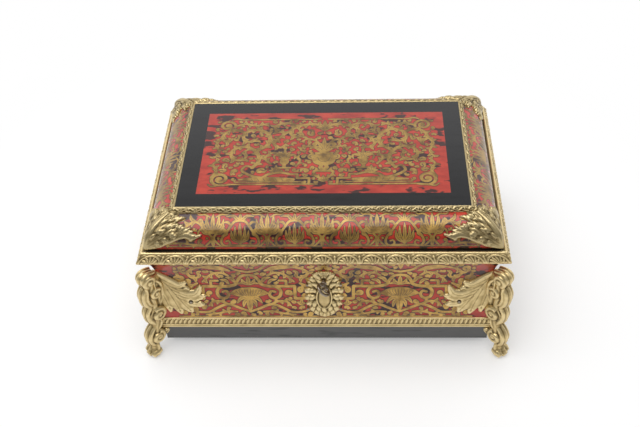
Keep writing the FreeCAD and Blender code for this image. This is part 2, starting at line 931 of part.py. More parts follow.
def lid_board():
    """The board over the rails, its edge shaped to the quarter round on all four sides."""
    low_angle = ovolo_angle_at_level(lid_rail_top, veneer_thickness)
    high_angle = ovolo_angle_at_inset(frame_outer_inset, veneer_thickness)
    slabs = []
    for side in sides[:2]:
        reach = side.run + overrun
        low = ovolo_point(low_angle, veneer_thickness)
        middle = ovolo_point((low_angle + high_angle) / 2, veneer_thickness)
        high = ovolo_point(high_angle, veneer_thickness)
        near = [(side.span - point[0], point[1]) for point in (low, middle, high)]
        far = [(-across, level) for across, level in near]
        outline = [near[0], (near[1], near[2]), far[2], (far[1], far[0])]

        def place(point):
            return FreeCAD.Vector(-reach, -point[0], point[1])

        slab = face_of(outline, place).extrude(FreeCAD.Vector(reach + reach, 0, 0))
        slabs.append(turned(slab, side))
    return slabs[0].common(slabs[1])


panel_inset = frame_outer_inset + frame_width - frame_rebate_width
marquetry_inset = frame_outer_inset + frame_width + panel_border


def marquetry_panel():
    reach_x = half_width - marquetry_inset
    reach_y = half_depth - marquetry_inset
    return block(-reach_x, reach_x, -reach_y, reach_y, panel_top - veneer_thickness, panel_top)


def lid_panel():
    reach_x = half_width - panel_inset
    reach_y = half_depth - panel_inset
    return block(-reach_x, reach_x, -reach_y, reach_y, board_top, panel_top).cut(marquetry_panel())


def lid_frame_outline():
    inner = frame_outer_inset + frame_width
    edge_level = board_top + frame_edge_height
    step = (frame_outer_inset + frame_step, edge_level)
    crown = (inner - frame_chamfer - frame_crown_width, frame_top)
    return [
        (frame_outer_inset, board_top),
        (frame_outer_inset, edge_level),
        step,
        bowed(step, crown, frame_bow_share),
        (inner - frame_chamfer, frame_top),
        (inner, frame_top - frame_chamfer),
        (inner, panel_top),
        (panel_inset, panel_top),
        (panel_inset, board_top),
    ]


def rim_outline():
    nose = (0, lid_level + rim_nose_height)
    foot = (rim_nose_reach, lid_level)
    lip = (rim_lip_inset, lid_level + rim_height)
    groove = rim_lip_inset + rim_lip_width
    return [
        (fillet_inset, lid_level),
        foot,
        bowed(foot, nose, rim_nose_bow_share),
        bowed(nose, lip, rim_hollow_bow_share),
        (groove, lid_level + rim_height),
        (groove, lid_level + rim_seat_height),
        (fillet_inset, lid_level + rim_seat_height),
    ]


def lid_leaf_outline(reach):
    return [(along * reach, ovolo_level + level * ovolo_rise) for along, level in lid_leaf_shares]


def lid_rib_outline():
    return [
        (along * lid_mount_rib_reach, ovolo_level + level * ovolo_rise) for along, level in lid_rib_shares
    ]


def lid_mount(index):
    """A leaf over either face of the lid's corner with a rib down the corner, as one casting."""
    corner = corner_of(index)
    depth = frame_outer_inset + overrun
    pieces = []
    for face, end in ((corner.side, -1), (corner.other, 1)):
        reach = lid_mount_front_reach if face.name in ("front", "back") else lid_mount_side_reach
        thin = ovolo_strip(-lid_mount_thickness, 0)
        thick = ovolo_strip(-lid_mount_rib_thickness, 0)
        pieces.append(face_leaf(face, end, lid_leaf_outline(reach), thin, depth))
        pieces.append(face_leaf(face, end, lid_rib_outline(), thick, depth))
    casting = pieces[0].multiFuse(pieces[1:]).removeSplitter()
    return max(casting.Solids, key=lambda solid: solid.Volume)


def lid_lining():
    reach_x = half_width - wall_inner_inset
    reach_y = half_depth - wall_inner_inset
    return block(-reach_x, reach_x, -reach_y, reach_y, lid_rail_top - lining_thickness, lid_rail_top)


# Assembly: every node, with the seats, bores and mortises that its neighbours need

def build():
    nodes = {}

    mount_pins = [pin_on(side, x, level, leaf_thickness) for side, x, level in mount_pin_places()]
    plate_pins = escutcheon_pins()
    case_pins = mount_pins + plate_pins
    leaf_screws = hinge_screws(joint_level, up * -1)
    cover_screws = lock_screws()
    lid_screws = hinge_screws(lid_level, up) + strike_screws()

    case_leaves = [case_leaf_plate(x) for x in hinge_places.values()]
    lid_leaves = [lid_leaf_plate(x) for x in hinge_places.values()]
    wall_hole = keyhole(-overrun, lock_face_inset)
    for side in sides:
        wall = bar_on(side, wall_outline()).cut(case_pins)
        veneer = bar_on(side, veneer_outline()).cut(case_pins)
        if side is front:
            wall = wall.cut([lock_window(), selvedge_block(), wall_hole] + cover_screws)
            veneer = veneer.cut(wall_hole)
        if side is back:
            wall = wall.cut(case_leaves + leaf_screws)
            veneer = veneer.cut(case_leaves)
        nodes["case_" + side.name] = wall
        nodes["case_veneer_" + side.name] = veneer
        nodes["plinth_" + side.name] = bar_on(side, plinth_outline())
        nodes["base_moulding_" + side.name] = bar_on(side, base_moulding_outline())
    nodes["case_bottom"] = bottom_board()
    nodes["case_lining"] = Part.makeCompound(lining_boards())

    case_shapes = [shape for name, shape in nodes.items() if name != "case_lining"]
    for index in range(len(sides)):
        mount = corner_mount(index, case_shapes).cut(mount_pins)
        nodes["corner_mount_" + corner_of(index).name] = mount
    nodes["escutcheon"] = escutcheon().cut(plate_pins)
    nodes["mount_pins"] = Part.makeCompound(case_pins)

    nodes["lock_case"] = lock_body().cut(cover_screws)
    nodes["lock_cover"] = lock_cover().cut(cover_screws)
    nodes["lock_bolt"] = lock_bolt()
    nodes["key"] = key_solid()
    nodes["case_screws"] = Part.makeCompound(cover_screws + leaf_screws)
    for name, x in hinge_places.items():
        nodes["hinge_case_leaf_" + name] = case_leaf(x).cut(leaf_screws)
        nodes["hinge_lid_leaf_" + name] = lid_leaf(x).cut(lid_screws)
    nodes["hinge_pins"] = Part.makeCompound([hinge_pin(x) for x in hinge_places.values()])

    strike = strike_plate()
    for side in sides:
        rail = bar_on(side, lid_rail_outline())
        rim = bar_on(side, rim_outline())
        if side is front:
            rail = rail.cut([strike] + lid_screws)
        if side is back:
            rail = rail.cut(lid_leaves + lid_screws)
            rim = rim.cut(lid_leaves)
        nodes["lid_rail_" + side.name] = rail
        nodes["rim_moulding_" + side.name] = rim
        nodes["lid_veneer_" + side.name] = bar_on(side, ovolo_strip(0, veneer_thickness))
        nodes["lid_frame_" + side.name] = bar_on(side, lid_frame_outline())
    for index in range(len(sides)):
        nodes["lid_mount_" + corner_of(index).name] = lid_mount(index)
    nodes["lid_board"] = lid_board()
    nodes["lid_panel"] = lid_panel()
    nodes["lid_marquetry"] = marquetry_panel()
    nodes["lid_lining"] = lid_lining()
    nodes["lid_strike"] = strike.cut(lid_screws)
    nodes["lid_screws"] = Part.makeCompound(lid_screws)
    return nodes


def main():
    os.makedirs("parts", exist_ok=True)
    nodes = build()
    whole = Part.makeCompound(list(nodes.values())).BoundBox
    for name, shape in sorted(nodes.items()):
        shape.exportStep(os.path.join("parts", name + ".step"))
        print(f"{name}: {len(shape.Solids)} solids, {shape.Volume:.1f} mm3, valid {shape.isValid()}")
    print(f"{len(nodes)} nodes, box {whole.XLength:.2f} x {whole.YLength:.2f} x {whole.ZLength:.2f} mm")
    print(f"y from {whole.YMin:.2f} to {whole.YMax:.2f}, z from {whole.ZMin:.2f}")


main()
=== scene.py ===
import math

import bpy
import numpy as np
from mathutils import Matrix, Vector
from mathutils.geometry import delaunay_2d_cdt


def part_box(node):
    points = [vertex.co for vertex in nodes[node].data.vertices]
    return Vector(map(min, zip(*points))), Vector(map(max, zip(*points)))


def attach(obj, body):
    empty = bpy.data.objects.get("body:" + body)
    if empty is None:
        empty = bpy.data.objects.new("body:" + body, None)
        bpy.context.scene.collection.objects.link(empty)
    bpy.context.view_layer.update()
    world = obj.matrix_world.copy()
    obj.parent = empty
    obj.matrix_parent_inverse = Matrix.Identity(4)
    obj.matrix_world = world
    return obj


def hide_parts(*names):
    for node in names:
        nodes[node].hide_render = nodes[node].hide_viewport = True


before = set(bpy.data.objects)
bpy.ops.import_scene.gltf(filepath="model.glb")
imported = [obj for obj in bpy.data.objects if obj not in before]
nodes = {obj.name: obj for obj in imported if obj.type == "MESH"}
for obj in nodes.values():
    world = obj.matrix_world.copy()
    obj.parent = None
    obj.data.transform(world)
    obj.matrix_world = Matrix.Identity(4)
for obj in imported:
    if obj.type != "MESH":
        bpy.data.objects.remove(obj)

# %% [markdown]
# # A marquetry casket with gilt mounts
# The casket is an ogee box under a quarter-round lid. Its faces are veneered in red shell with brass
# arabesques let into them, and every edge carries a gilt casting. The solid model brings the true sizes
# and the joints. This script dresses it: it draws the marquetry, models the relief of the castings and
# finishes each wood and metal. Drawings are made in millimetres and turned into metres when a mesh is
# built.

MM = 0.001
scene = bpy.context.scene
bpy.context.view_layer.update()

# %% [markdown]
# ## Places taken from the solid model
# Everything is measured from the rim moulding, the widest moulding of the box. A distance inwards from
# its outer face is called an inset. Reading the levels from the solids, instead of writing them again,
# keeps the dress on the frame if a size changes.

# %% Levels and reaches
def box_mm(node):
    low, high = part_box(node)
    return low / MM, high / MM


half_width = box_mm("rim_moulding_front")[1].x
half_depth = -box_mm("rim_moulding_front")[0].y
base_level = box_mm("base_moulding_front")[0].z
ogee_foot_level = box_mm("case_veneer_front")[0].z
joint_level = box_mm("case_front")[1].z
lid_level = box_mm("rim_moulding_front")[0].z
ovolo_level = box_mm("lid_veneer_front")[0].z
panel_level = box_mm("lid_marquetry")[1].z
frame_inset = half_depth + box_mm("lid_frame_front")[0].y
print("rim", 2 * half_width, "by", 2 * half_depth, "mm, joint at", joint_level, "mm")

# %% [markdown]
# ## Camera
# The photograph was taken from in front and above. A pinhole camera fitted to the corners of the lid
# gives its place and its tilt; the lens follows from the focal length in pixels. The camera's three axes
# are built from heading, pitch and roll, which is easier to check than a rotation matrix typed in by
# hand.

# %% Camera
image_width_px = 640
focal_length_px = 965
camera_place = Vector((0.0345, -0.7663, 0.8013))
camera_heading = math.radians(-3.09)
camera_pitch = math.radians(42.975)
camera_roll = math.radians(-2.383)

camera_data = bpy.data.cameras.new("camera")
camera_data.sensor_width = 36.0
camera_data.lens = focal_length_px * camera_data.sensor_width / image_width_px
camera = bpy.data.objects.new("camera", camera_data)
forward = Vector((
    math.sin(camera_heading) * math.cos(camera_pitch),
    math.cos(camera_heading) * math.cos(camera_pitch),
    -math.sin(camera_pitch),
))
level_right = Vector((math.cos(camera_heading), -math.sin(camera_heading), 0))
level_up = level_right.cross(forward)
camera_right = level_right * math.cos(camera_roll) + level_up * math.sin(camera_roll)
camera_up = level_up * math.cos(camera_roll) - level_right * math.sin(camera_roll)
axes = Matrix((camera_right, camera_up, -forward)).transposed()
camera.matrix_world = Matrix.Translation(camera_place) @ axes.to_4x4()
scene.collection.objects.link(camera)
scene.camera = camera
scene.view_settings.view_transform = "Standard"
print("lens", round(camera_data.lens, 2), "mm")

# %% [markdown]
# ## Node helpers
# Each finish below is a small node tree. These helpers add a node, set its inputs by name and join it to
# the others, so that a finish reads as a short recipe. A value that is the same all over a surface is set
# on the shader itself.

# %% Node helpers
def new_finish(name):
    """A material with a Principled shader; returns the material, its tree and the shader."""
    finish = bpy.data.materials.new(name)
    finish.use_nodes = True
    tree = finish.node_tree
    return finish, tree, tree.nodes["Principled BSDF"]


def feed(tree, socket, value):
    """Links an output to a socket, or sets the socket's own value."""
    if isinstance(value, bpy.types.NodeSocket):
        tree.links.new(value, socket)
    else:
        socket.default_value = value


def add_node(tree, kind, inputs):
    """A node of a kind, fed by the names or numbers of its inputs."""
    node = tree.nodes.new(kind)
    for name, value in inputs.items():
        feed(tree, node.inputs[name], value)
    return node


def add_math(tree, operation, first, second):
    node = add_node(tree, "ShaderNodeMath", {0: first, 1: second})
    node.operation = operation
    return node.outputs[0]


def add_range(tree, value, low, high, start=0.0, end=1.0):
    """A value that runs from start to end, turned into one that runs from low to high."""
    limits = {"Value": value, "From Min": start, "From Max": end, "To Min": low, "To Max": high}
    return add_node(tree, "ShaderNodeMapRange", limits).outputs["Result"]


def add_ramp(tree, source, stops):
    """A colour ramp from (position, grey or colour) stops."""
    ramp = add_node(tree, "ShaderNodeValToRGB", {"Fac": source})
    elements = ramp.color_ramp.elements
    while len(elements) < len(stops):
        elements.new(0.5)
    for element, (position, colour) in zip(elements, stops):
        element.position = position
        element.color = (*colour, 1) if isinstance(colour, tuple) else (colour, colour, colour, 1)
    return ramp.outputs["Color"]


def add_mix(tree, share, first, second):
    """A mix of two colours or sockets by a share."""
    mix = tree.nodes.new("ShaderNodeMix")
    mix.data_type = "RGBA"
    for number, value in ((0, share), (6, first), (7, second)):
        feed(tree, mix.inputs[number], (*value, 1) if isinstance(value, tuple) else value)
    return mix.outputs[2]


def add_bump(tree, shader, height, distance, strength):
    bump = add_node(tree, "ShaderNodeBump", {"Height": height, "Distance": distance, "Strength": strength})
    tree.links.new(bump.outputs["Normal"], shader.inputs["Normal"])


def place_of(tree, stretch=(1, 1, 1)):
    """The object's own coordinates, stretched along each axis."""
    source = tree.nodes.new("ShaderNodeTexCoord").outputs["Object"]
    return add_node(tree, "ShaderNodeMapping", {"Vector": source, "Scale": stretch}).outputs["Vector"]


def noise_on(tree, place, scale, detail, roughness):
    inputs = {"Vector": place, "Scale": scale, "Detail": detail, "Roughness": roughness}
    return add_node(tree, "ShaderNodeTexNoise", inputs).outputs["Fac"]


def set_shader(shader, **values):
    """Sets plain values on a shader; an underscore stands for a space in an input's name."""
    for name, value in values.items():
        shader.inputs[name.replace("_", " ")].default_value = value


def darker(colour, lightness):
    return tuple(lightness * part for part in colour)


print("node helpers ready")

# %% [markdown]
# ## Floor
# The casket stands on a white sheet in a studio. The sheet is lit by the same soft light as the casket
# and keeps its shadow; further out it turns into an even white, for the eye and for reflections alike.
# Well in front of the casket the white falls off to a pale grey. That matters for a polished face: where
# it mirrors the near sheet it turns pale, and where it mirrors the far floor its colour stays deeper.

# %% Floor
floor_reach = 12.0
sheet_white = (0.95, 0.95, 0.95)
floor_grey = (0.55, 0.55, 0.56)
sheet_front = -0.225
grey_front = -0.75
grey_share = 0.55
near_radius = 0.22
far_radius = 0.52
near_share = 0.35

bpy.ops.mesh.primitive_plane_add(size=2 * floor_reach)
floor = bpy.context.object
floor.name = "floor"
floor_finish, tree, shader = new_finish("white_sheet")
place = tree.nodes.new("ShaderNodeTexCoord").outputs["Object"]
front = add_node(tree, "ShaderNodeSeparateXYZ", {"Vector": place}).outputs["Y"]
sheet = add_range(tree, front, grey_share, 1.0, grey_front, sheet_front)
radius = add_node(tree, "ShaderNodeVectorMath", {0: place})
radius.operation = "LENGTH"
far = add_range(tree, radius.outputs["Value"], near_share, 1.0, near_radius, far_radius)
rays = tree.nodes.new("ShaderNodeLightPath").outputs
mirrored = add_math(tree, "MAXIMUM", rays["Is Glossy Ray"], rays["Is Transmission Ray"])
seen = add_math(tree, "MAXIMUM", rays["Is Camera Ray"], mirrored)
even_share = add_math(tree, "MULTIPLY", add_math(tree, "MULTIPLY", far, sheet), seen)
tree.links.new(add_mix(tree, sheet, floor_grey, sheet_white), shader.inputs["Base Color"])
set_shader(shader, Roughness=0.9, Specular_IOR_Level=0.0)
even_white = add_node(tree, "ShaderNodeEmission", {"Color": (1, 1, 1, 1), "Strength": 1.0})
blend = add_node(tree, "ShaderNodeMixShader", {0: even_share, 1: shader.outputs[0], 2: even_white.outputs[0]})
tree.links.new(blend.outputs[0], tree.nodes["Material Output"].inputs["Surface"])
floor.data.materials.append(floor_finish)
print("floor", 2 * floor_reach, "m across")

# %% [markdown]
# ## Light
# A studio lights such a piece from a large soft source overhead, in a room that is dimmer low down.
# Several lamps could do it, but their edges would show in the polish; a sky that brightens upwards has
# none. Behind the casket the sky becomes a light wall, whose upper edge the black border of the lid
# mirrors as a soft gradient. One broad lamp adds the shadow on the floor.

# %% Sky and lamp
sky_strength = 0.55
overhead_stops = [(0.0, 0.16), (0.35, 0.35), (0.75, 1.0)]
wall_light = 2.4
wall_dim = 0.35
wall_edge = (0.58, 0.74)
wall_sides = (0.1, 0.5)
lamp_power = 20.0
lamp_size = 1.5
lamp_place = Vector((-0.25, -0.2, 1.55))
lamp_target = Vector((0, 0, 0.1))

world = bpy.data.worlds.new("studio")
scene.world = world
world.use_nodes = True
tree = world.node_tree
background = tree.nodes["Background"]
direction = tree.nodes.new("ShaderNodeTexCoord").outputs["Generated"]
parts = add_node(tree, "ShaderNodeSeparateXYZ", {"Vector": direction}).outputs
overhead = add_ramp(tree, parts["Z"], overhead_stops)
wall = add_range(tree, parts["Z"], wall_light, wall_dim, *wall_edge)
behind = add_range(tree, parts["Y"], 0.0, 1.0, *wall_sides)
tree.links.new(add_mix(tree, behind, overhead, wall), background.inputs["Color"])
background.inputs["Strength"].default_value = sky_strength

lamp = bpy.data.lights.new("overhead_lamp", "AREA")
lamp.energy = lamp_power
lamp.size = lamp_size
lamp_holder = bpy.data.objects.new("overhead_lamp", lamp)
lamp_holder.location = lamp_place
lamp_holder.rotation_euler = (lamp_target - lamp_place).to_track_quat("-Z", "Y").to_euler()
scene.collection.objects.link(lamp_holder)
print("sky and one overhead lamp")

# %% [markdown]
# ## Red shell
# The ground of the marquetry is turtle shell laid over red pigment: a clear vermilion broken by brown and
# black clouds with ragged, streaky edges, under a deep polish. Three noises make it. A coarse one,
# stretched along the grain, is cut by a steep ramp into clouds, a finer one breaks their edges, and a
# third lets the red drift to a deeper one. A coat over the colour gives the polish.

# %% Red shell finish
shell_red = (0.54, 0.050, 0.026)
shell_deep_red = (0.33, 0.022, 0.013)
shell_cloud = (0.040, 0.010, 0.008)
shell_ragged = 0.09
shell_cloud_edge = 0.05


def shell_finish(name, stretch, cloud_start, lightness):
    finish, tree, shader = new_finish(name)
    place = place_of(tree, stretch)
    coarse = noise_on(tree, place, scale=55.0, detail=2.0, roughness=0.5)
    fine = noise_on(tree, place, scale=190.0, detail=4.0, roughness=0.65)
    drift = noise_on(tree, place, scale=60.0, detail=2.0, roughness=0.5)
    broken = add_math(tree, "ADD", coarse, add_range(tree, fine, -shell_ragged, shell_ragged))
    clouds = add_ramp(tree, broken, [(cloud_start, 0.0), (cloud_start + shell_cloud_edge, 1.0)])
    deepness = add_ramp(tree, drift, [(0.35, 0.0), (0.75, 1.0)])
    red = add_mix(tree, deepness, darker(shell_red, lightness), darker(shell_deep_red, lightness))
    tree.links.new(add_mix(tree, clouds, red, shell_cloud), shader.inputs["Base Color"])
    set_shader(shader, Roughness=0.36, Specular_IOR_Level=0.15)
    set_shader(shader, Coat_Weight=1.0, Coat_Roughness=0.04, Coat_IOR=1.38)
    add_bump(tree, shader, fine, distance=0.0004, strength=0.05)
    return finish


shell_on_walls = shell_finish("red_shell_walls", (1.0, 1.0, 2.2), cloud_start=0.545, lightness=1.0)
# The top's copy of the shell is darker all over: painted shade, as the top faces the overhead light.
shaded_top_shell = shell_finish("red_shell_top", (1.0, 2.2, 1.0), cloud_start=0.55, lightness=0.82)
print("red shell:", shell_on_walls.name, shaded_top_shell.name)

# %% [markdown]
# ## Brass of the marquetry
# The inlay is thin sheet brass, sawn with the shell, rubbed flush and polished with it. It has tarnished
# in patches. Its copy on the lid, which faces the overhead light, is darker all over: painted shade. The
# joint round each piece is filled with black mastic, which draws a fine line round every leaf.

# %% Inlay brass and mastic
inlay_gold = (0.66, 0.400, 0.090)
inlay_brown = (0.25, 0.135, 0.026)
mastic_black = (0.010, 0.007, 0.006)
mastic_brown = (0.045, 0.018, 0.012)


def inlay_finish(name, lightness):
    finish, tree, shader = new_finish(name)
    tarnish = noise_on(tree, place_of(tree), scale=70.0, detail=4.0, roughness=0.65)
    share = add_ramp(tree, tarnish, [(0.40, 0.0), (0.64, 1.0)])
    colour = add_mix(tree, share, darker(inlay_gold, lightness), darker(inlay_brown, lightness))
    tree.links.new(colour, shader.inputs["Base Color"])
    set_shader(shader, Metallic=0.6, Roughness=0.46, Coat_Weight=0.5, Coat_Roughness=0.05)
    return finish


def mastic_finish():
    finish, tree, shader = new_finish("black_mastic")
    grain = noise_on(tree, place_of(tree), scale=400.0, detail=2.0, roughness=0.5)
    tree.links.new(add_mix(tree, grain, mastic_black, mastic_brown), shader.inputs["Base Color"])
    set_shader(shader, Roughness=0.3, Coat_Weight=0.4, Coat_Roughness=0.05)
    return finish


wall_brass = inlay_finish("wall_brass", lightness=1.0)
# The lid's copy of the brass is darker all over: painted shade, as the lid faces the overhead light.
shaded_lid_brass = inlay_finish("shaded_lid_brass", lightness=0.66)
mastic = mastic_finish()
print("inlay:", wall_brass.name, shaded_lid_brass.name, mastic.name)

# %% [markdown]
# ## Gilt bronze
# The castings are bronze, gilded and then toned: pale gold on the ridges that hands have rubbed, olive
# brown where dust and old lacquer sit in the hollows. Each casting stores how deep a point lies in an
# attribute called "hollow", so that the toning follows the relief itself. A cloud of noise makes the
# gilding patchy, and fine noise gives the slight grain of a cast and chased surface. The frame and the
# mounts of the lid, which face the overhead light, get a darker copy of the gilding: painted shade.

# %% Gilt bronze finish
gilt_tones = [(0.06, (0.80, 0.635, 0.33)), (0.46, (0.50, 0.370, 0.165)), (0.90, (0.130, 0.092, 0.040))]
gilt_patchiness = 0.32


def gilt_finish(name, lightness):
    finish, tree, shader = new_finish(name)
    hollow = tree.nodes.new("ShaderNodeAttribute")
    hollow.attribute_name = "hollow"
    place = place_of(tree)
    cloud = noise_on(tree, place, scale=110.0, detail=5.0, roughness=0.65)
    grain = noise_on(tree, place, scale=520.0, detail=4.0, roughness=0.6)
    patches = add_range(tree, cloud, -gilt_patchiness, gilt_patchiness)
    depth = add_math(tree, "ADD", hollow.outputs["Fac"], patches)
    colour = add_ramp(tree, depth, [(position, darker(tone, lightness)) for position, tone in gilt_tones])
    tree.links.new(colour, shader.inputs["Base Color"])
    tree.links.new(add_range(tree, depth, 0.30, 0.55), shader.inputs["Roughness"])
    set_shader(shader, Metallic=0.8)
    add_bump(tree, shader, grain, distance=0.0005, strength=0.35)
    return finish


gilt_bronze = gilt_finish("gilt_bronze", lightness=1.0)
# The frame and the mounts of the lid get a darker copy of the gilding: painted shade under the overhead
# light.
shaded_gilt = gilt_finish("dull_gilt_bronze", lightness=0.62)
print("gilt:", gilt_bronze.name, shaded_gilt.name)

# %% [markdown]
# ## Woods
# The border of the top, the rails of the lid and the plinth are ebonised: fruitwood stained black, with
# the pores just showing through the polish. The plinth has been rubbed greyer than the rest. The carcass
# is plain oak and the inside is lined with rosewood. One recipe serves all four: a long noise for the
# figure, a finer one for the pores, and different colours and polish.

# %% Wood finishes
pore_darkness = 0.45


def wood_finish(name, light, dark, stretch, roughness, coat, specular=0.5):
    finish, tree, shader = new_finish(name)
    place = place_of(tree, (stretch, 1, 1))
    figure = noise_on(tree, place, scale=38.0, detail=5.0, roughness=0.55)
    pores = noise_on(tree, place, scale=260.0, detail=2.0, roughness=0.5)
    ground = add_mix(tree, add_ramp(tree, figure, [(0.32, 0.0), (0.68, 1.0)]), light, dark)
    holes = add_ramp(tree, pores, [(0.30, 1.0), (0.42, 0.0)])
    colour = add_mix(tree, holes, ground, darker(dark, pore_darkness))
    tree.links.new(colour, shader.inputs["Base Color"])
    set_shader(shader, Roughness=roughness, Specular_IOR_Level=specular)
    set_shader(shader, Coat_Weight=coat, Coat_Roughness=0.06)
    add_bump(tree, shader, pores, distance=0.0002, strength=0.08)
    return finish


ebonised = wood_finish("ebonised_wood", (0.009, 0.009, 0.010), (0.004, 0.004, 0.005), 0.12, 0.22, 0.5, 0.2)
rubbed_black = wood_finish("rubbed_ebonised_wood", (0.085, 0.085, 0.083), (0.05, 0.05, 0.049), 0.12, 0.3, 0.8)
oak = wood_finish("oak", (0.42, 0.27, 0.14), (0.26, 0.15, 0.07), 0.1, 0.55, 0.0)
rosewood = wood_finish("rosewood", (0.20, 0.07, 0.035), (0.07, 0.022, 0.014), 0.08, 0.3, 0.4)
print("woods:", ebonised.name, rubbed_black.name, oak.name, rosewood.name)

# %% [markdown]
# ## Lock and hinge metals
# The lock and the hinges are yellow brass, filed along their length; the key, the screws and the pins are
# iron gone brown. Stretched noise gives the file strokes, and a cloud of rust brown the iron's age.

# %% Lock and hinge finishes
def metal_finish(name, light, dark, stretch):
    finish, tree, shader = new_finish(name)
    strokes = noise_on(tree, place_of(tree, stretch), scale=260.0, detail=3.0, roughness=0.6)
    cloud = noise_on(tree, place_of(tree), scale=160.0, detail=4.0, roughness=0.65)
    share = add_ramp(tree, cloud, [(0.35, 0.0), (0.70, 1.0)])
    tree.links.new(add_mix(tree, share, light, dark), shader.inputs["Base Color"])
    set_shader(shader, Metallic=1.0, Roughness=0.34)
    add_bump(tree, shader, strokes, distance=0.0002, strength=0.15)
    return finish


lock_brass = metal_finish("lock_brass", (0.60, 0.43, 0.16), (0.38, 0.25, 0.08), (0.15, 1, 1))
dark_iron = metal_finish("dark_iron", (0.38, 0.33, 0.27), (0.17, 0.12, 0.08), (1, 0.2, 1))
print("metals:", lock_brass.name, dark_iron.name)

# %% [markdown]
# ## Profiles
# The walls and the lid are straight bars with a shaped face, so a place on them is a distance along the
# side and a distance up the face, measured round its curve. A profile keeps, for each distance up the
# face, the inset, the level and the direction that the face looks in. The ogee is two arcs that meet at a
# slope, and the lid a quarter round.

# %% Profiles of the walls and the lid
quarter_turns = {"front": 0, "right": 1, "back": 2, "left": 3}
ogee_foot_inset = 6.5
ogee_waist_inset = 13.0
ogee_top_inset = 5.5
ogee_hollow_height = 30.0
ovolo_radius = 26.0
profile_steps = 49


def profile_through(points):
    """Distance up the face, inset, level and outward direction at points from bottom to top."""
    points = np.array(points)
    steps = np.hypot(*np.diff(points, axis=0).T)
    up_face = np.concatenate([[0], np.cumsum(steps)])
    along = np.gradient(points, up_face, axis=0)
    along /= np.linalg.norm(along, axis=1)[:, None]
    return np.column_stack([up_face, points, -along[:, 1], along[:, 0]])


def on_profile(profile, up_face, raised):
    """Inset and level of points up a face, raised off it."""
    columns = [np.interp(up_face, profile[:, 0], column) for column in profile[:, 1:].T]
    inset, level, out_inset, out_level = columns
    return inset + raised * out_inset, level + raised * out_level


hollow_out = ogee_waist_inset - ogee_top_inset
hollow_radius = (ogee_hollow_height ** 2 + hollow_out ** 2) / (2 * hollow_out)
waist_level = joint_level - ogee_hollow_height
belly_in = ogee_waist_inset - ogee_foot_inset
belly_height = waist_level - ogee_foot_level
both_radii = (belly_in ** 2 + belly_height ** 2) / (2 * belly_in)
swing = math.asin(belly_height / both_radii)
belly_angles = np.linspace(0, swing, profile_steps)
hollow_angles = np.linspace(-swing, math.asin(ogee_hollow_height / hollow_radius), profile_steps)[1:]


def arc(inset, level, radius, angles):
    """Points of an arc that starts upright and leans inwards, or outwards where the radius is negative."""
    return [(inset + radius * (1 - math.cos(a)), level + abs(radius) * math.sin(a)) for a in angles]


ogee = profile_through(
    arc(ogee_foot_inset, ogee_foot_level, both_radii - hollow_radius, belly_angles)
    + arc(ogee_waist_inset, waist_level, -hollow_radius, hollow_angles)
)

lid_face_inset = half_depth + box_mm("lid_veneer_front")[0].y
ovolo_end = math.acos((lid_face_inset + ovolo_radius - frame_inset) / ovolo_radius)
ovolo_angles = np.linspace(0, ovolo_end, profile_steps)
ovolo = profile_through(arc(lid_face_inset, ovolo_level, ovolo_radius, ovolo_angles))
print("face heights: ogee", round(ogee[-1, 0], 1), "mm, quarter round", round(ovolo[-1, 0], 1), "mm")

# %% [markdown]
# ## Places on a side
# The four sides are alike but for their length. A point is worked out as if it lay on the front and is
# then turned by quarter turns to its side. Four sets of formulas would do the same, with four chances of
# a slip.

# %% Places on a side of the box
def side_run(side):
    """Half of a side's length and its distance from the middle of the box, at the rim."""
    return (half_width, half_depth) if quarter_turns[side] % 2 == 0 else (half_depth, half_width)


def on_side(side, along, inset, level):
    """Points in metres from distances along a side, insets and levels in millimetres."""
    x = np.asarray(along, float)
    y = np.asarray(inset, float) - side_run(side)[1]
    for turn in range(quarter_turns[side]):
        x, y = -y, x
    return np.stack([x, y, np.broadcast_to(level, x.shape)], axis=-1) * MM


def on_face(side, profile):
    """A mapping from (along, up the face, raised) to points on a side."""
    def place(along, up_face, raised):
        inset, level = on_profile(profile, up_face, raised)
        return on_side(side, along, inset, level)
    return place


print("a point on the right side:", on_side("right", 10, 0, 50).round(3))

# %% [markdown]
# ## Meshes from arrays
# Pieces with many thousands of points are built as arrays of numbers and handed to Blender in one go,
# which is much quicker than adding them one by one with the modelling operators.

# %% Meshes from arrays
def new_piece(name, points, faces, finishes, face_finish=None, smooth=True):
    """A mesh object from points in metres and lists of corner numbers."""
    mesh = bpy.data.meshes.new(name)
    mesh.from_pydata(np.asarray(points).tolist(), [], [list(face) for face in faces])
    for finish in finishes:
        mesh.materials.append(finish)
    if face_finish is not None:
        mesh.polygons.foreach_set("material_index", np.asarray(face_finish, np.int32))
    mesh.polygons.foreach_set("use_smooth", np.full(len(mesh.polygons), smooth))
    mesh.update()
    piece = bpy.data.objects.new(name, mesh)
    scene.collection.objects.link(piece)
    return piece


print("mesh helpers ready")

# %% [markdown]
# ## Drawing with a brush
# Marquetry was drawn with a pen, pasted on the sheets and followed with a fine saw. Here a drawing is a
# grid of distances: each brush stroke lowers the distance near its line, so strokes melt into each other
# with no seams, and any line at a fixed distance from the brass, such as the mastic joint, comes for
# free. A vector union of hundreds of leaf outlines would be slower and would break at near misses. A vine
# is a stem that sheds leaves to either side, the quickest way to the crowded look of this work. Strokes
# are measured from an upright line, which lets a motif be drawn again as its mirror image.

# %% Paths


def smooth_path(points, spacing):
    """A smooth curve through a few points, as evenly spaced points along it."""
    points = np.array(points, float)
    if len(points) > 2:
        padded = np.vstack([2 * points[0] - points[1], points, 2 * points[-1] - points[-2]])
        t = np.linspace(0, 1, 13)[:-1, None]
        pieces = []
        for p0, p1, p2, p3 in zip(padded, padded[1:], padded[2:], padded[3:]):
            pieces.append(0.5 * (2 * p1 + (p2 - p0) * t + (2 * p0 - 5 * p1 + 4 * p2 - p3) * t ** 2
                                 + (3 * p1 - p0 - 3 * p2 + p3) * t ** 3))
        points = np.vstack(pieces + [points[-1:]])
    return even_path(points, spacing)


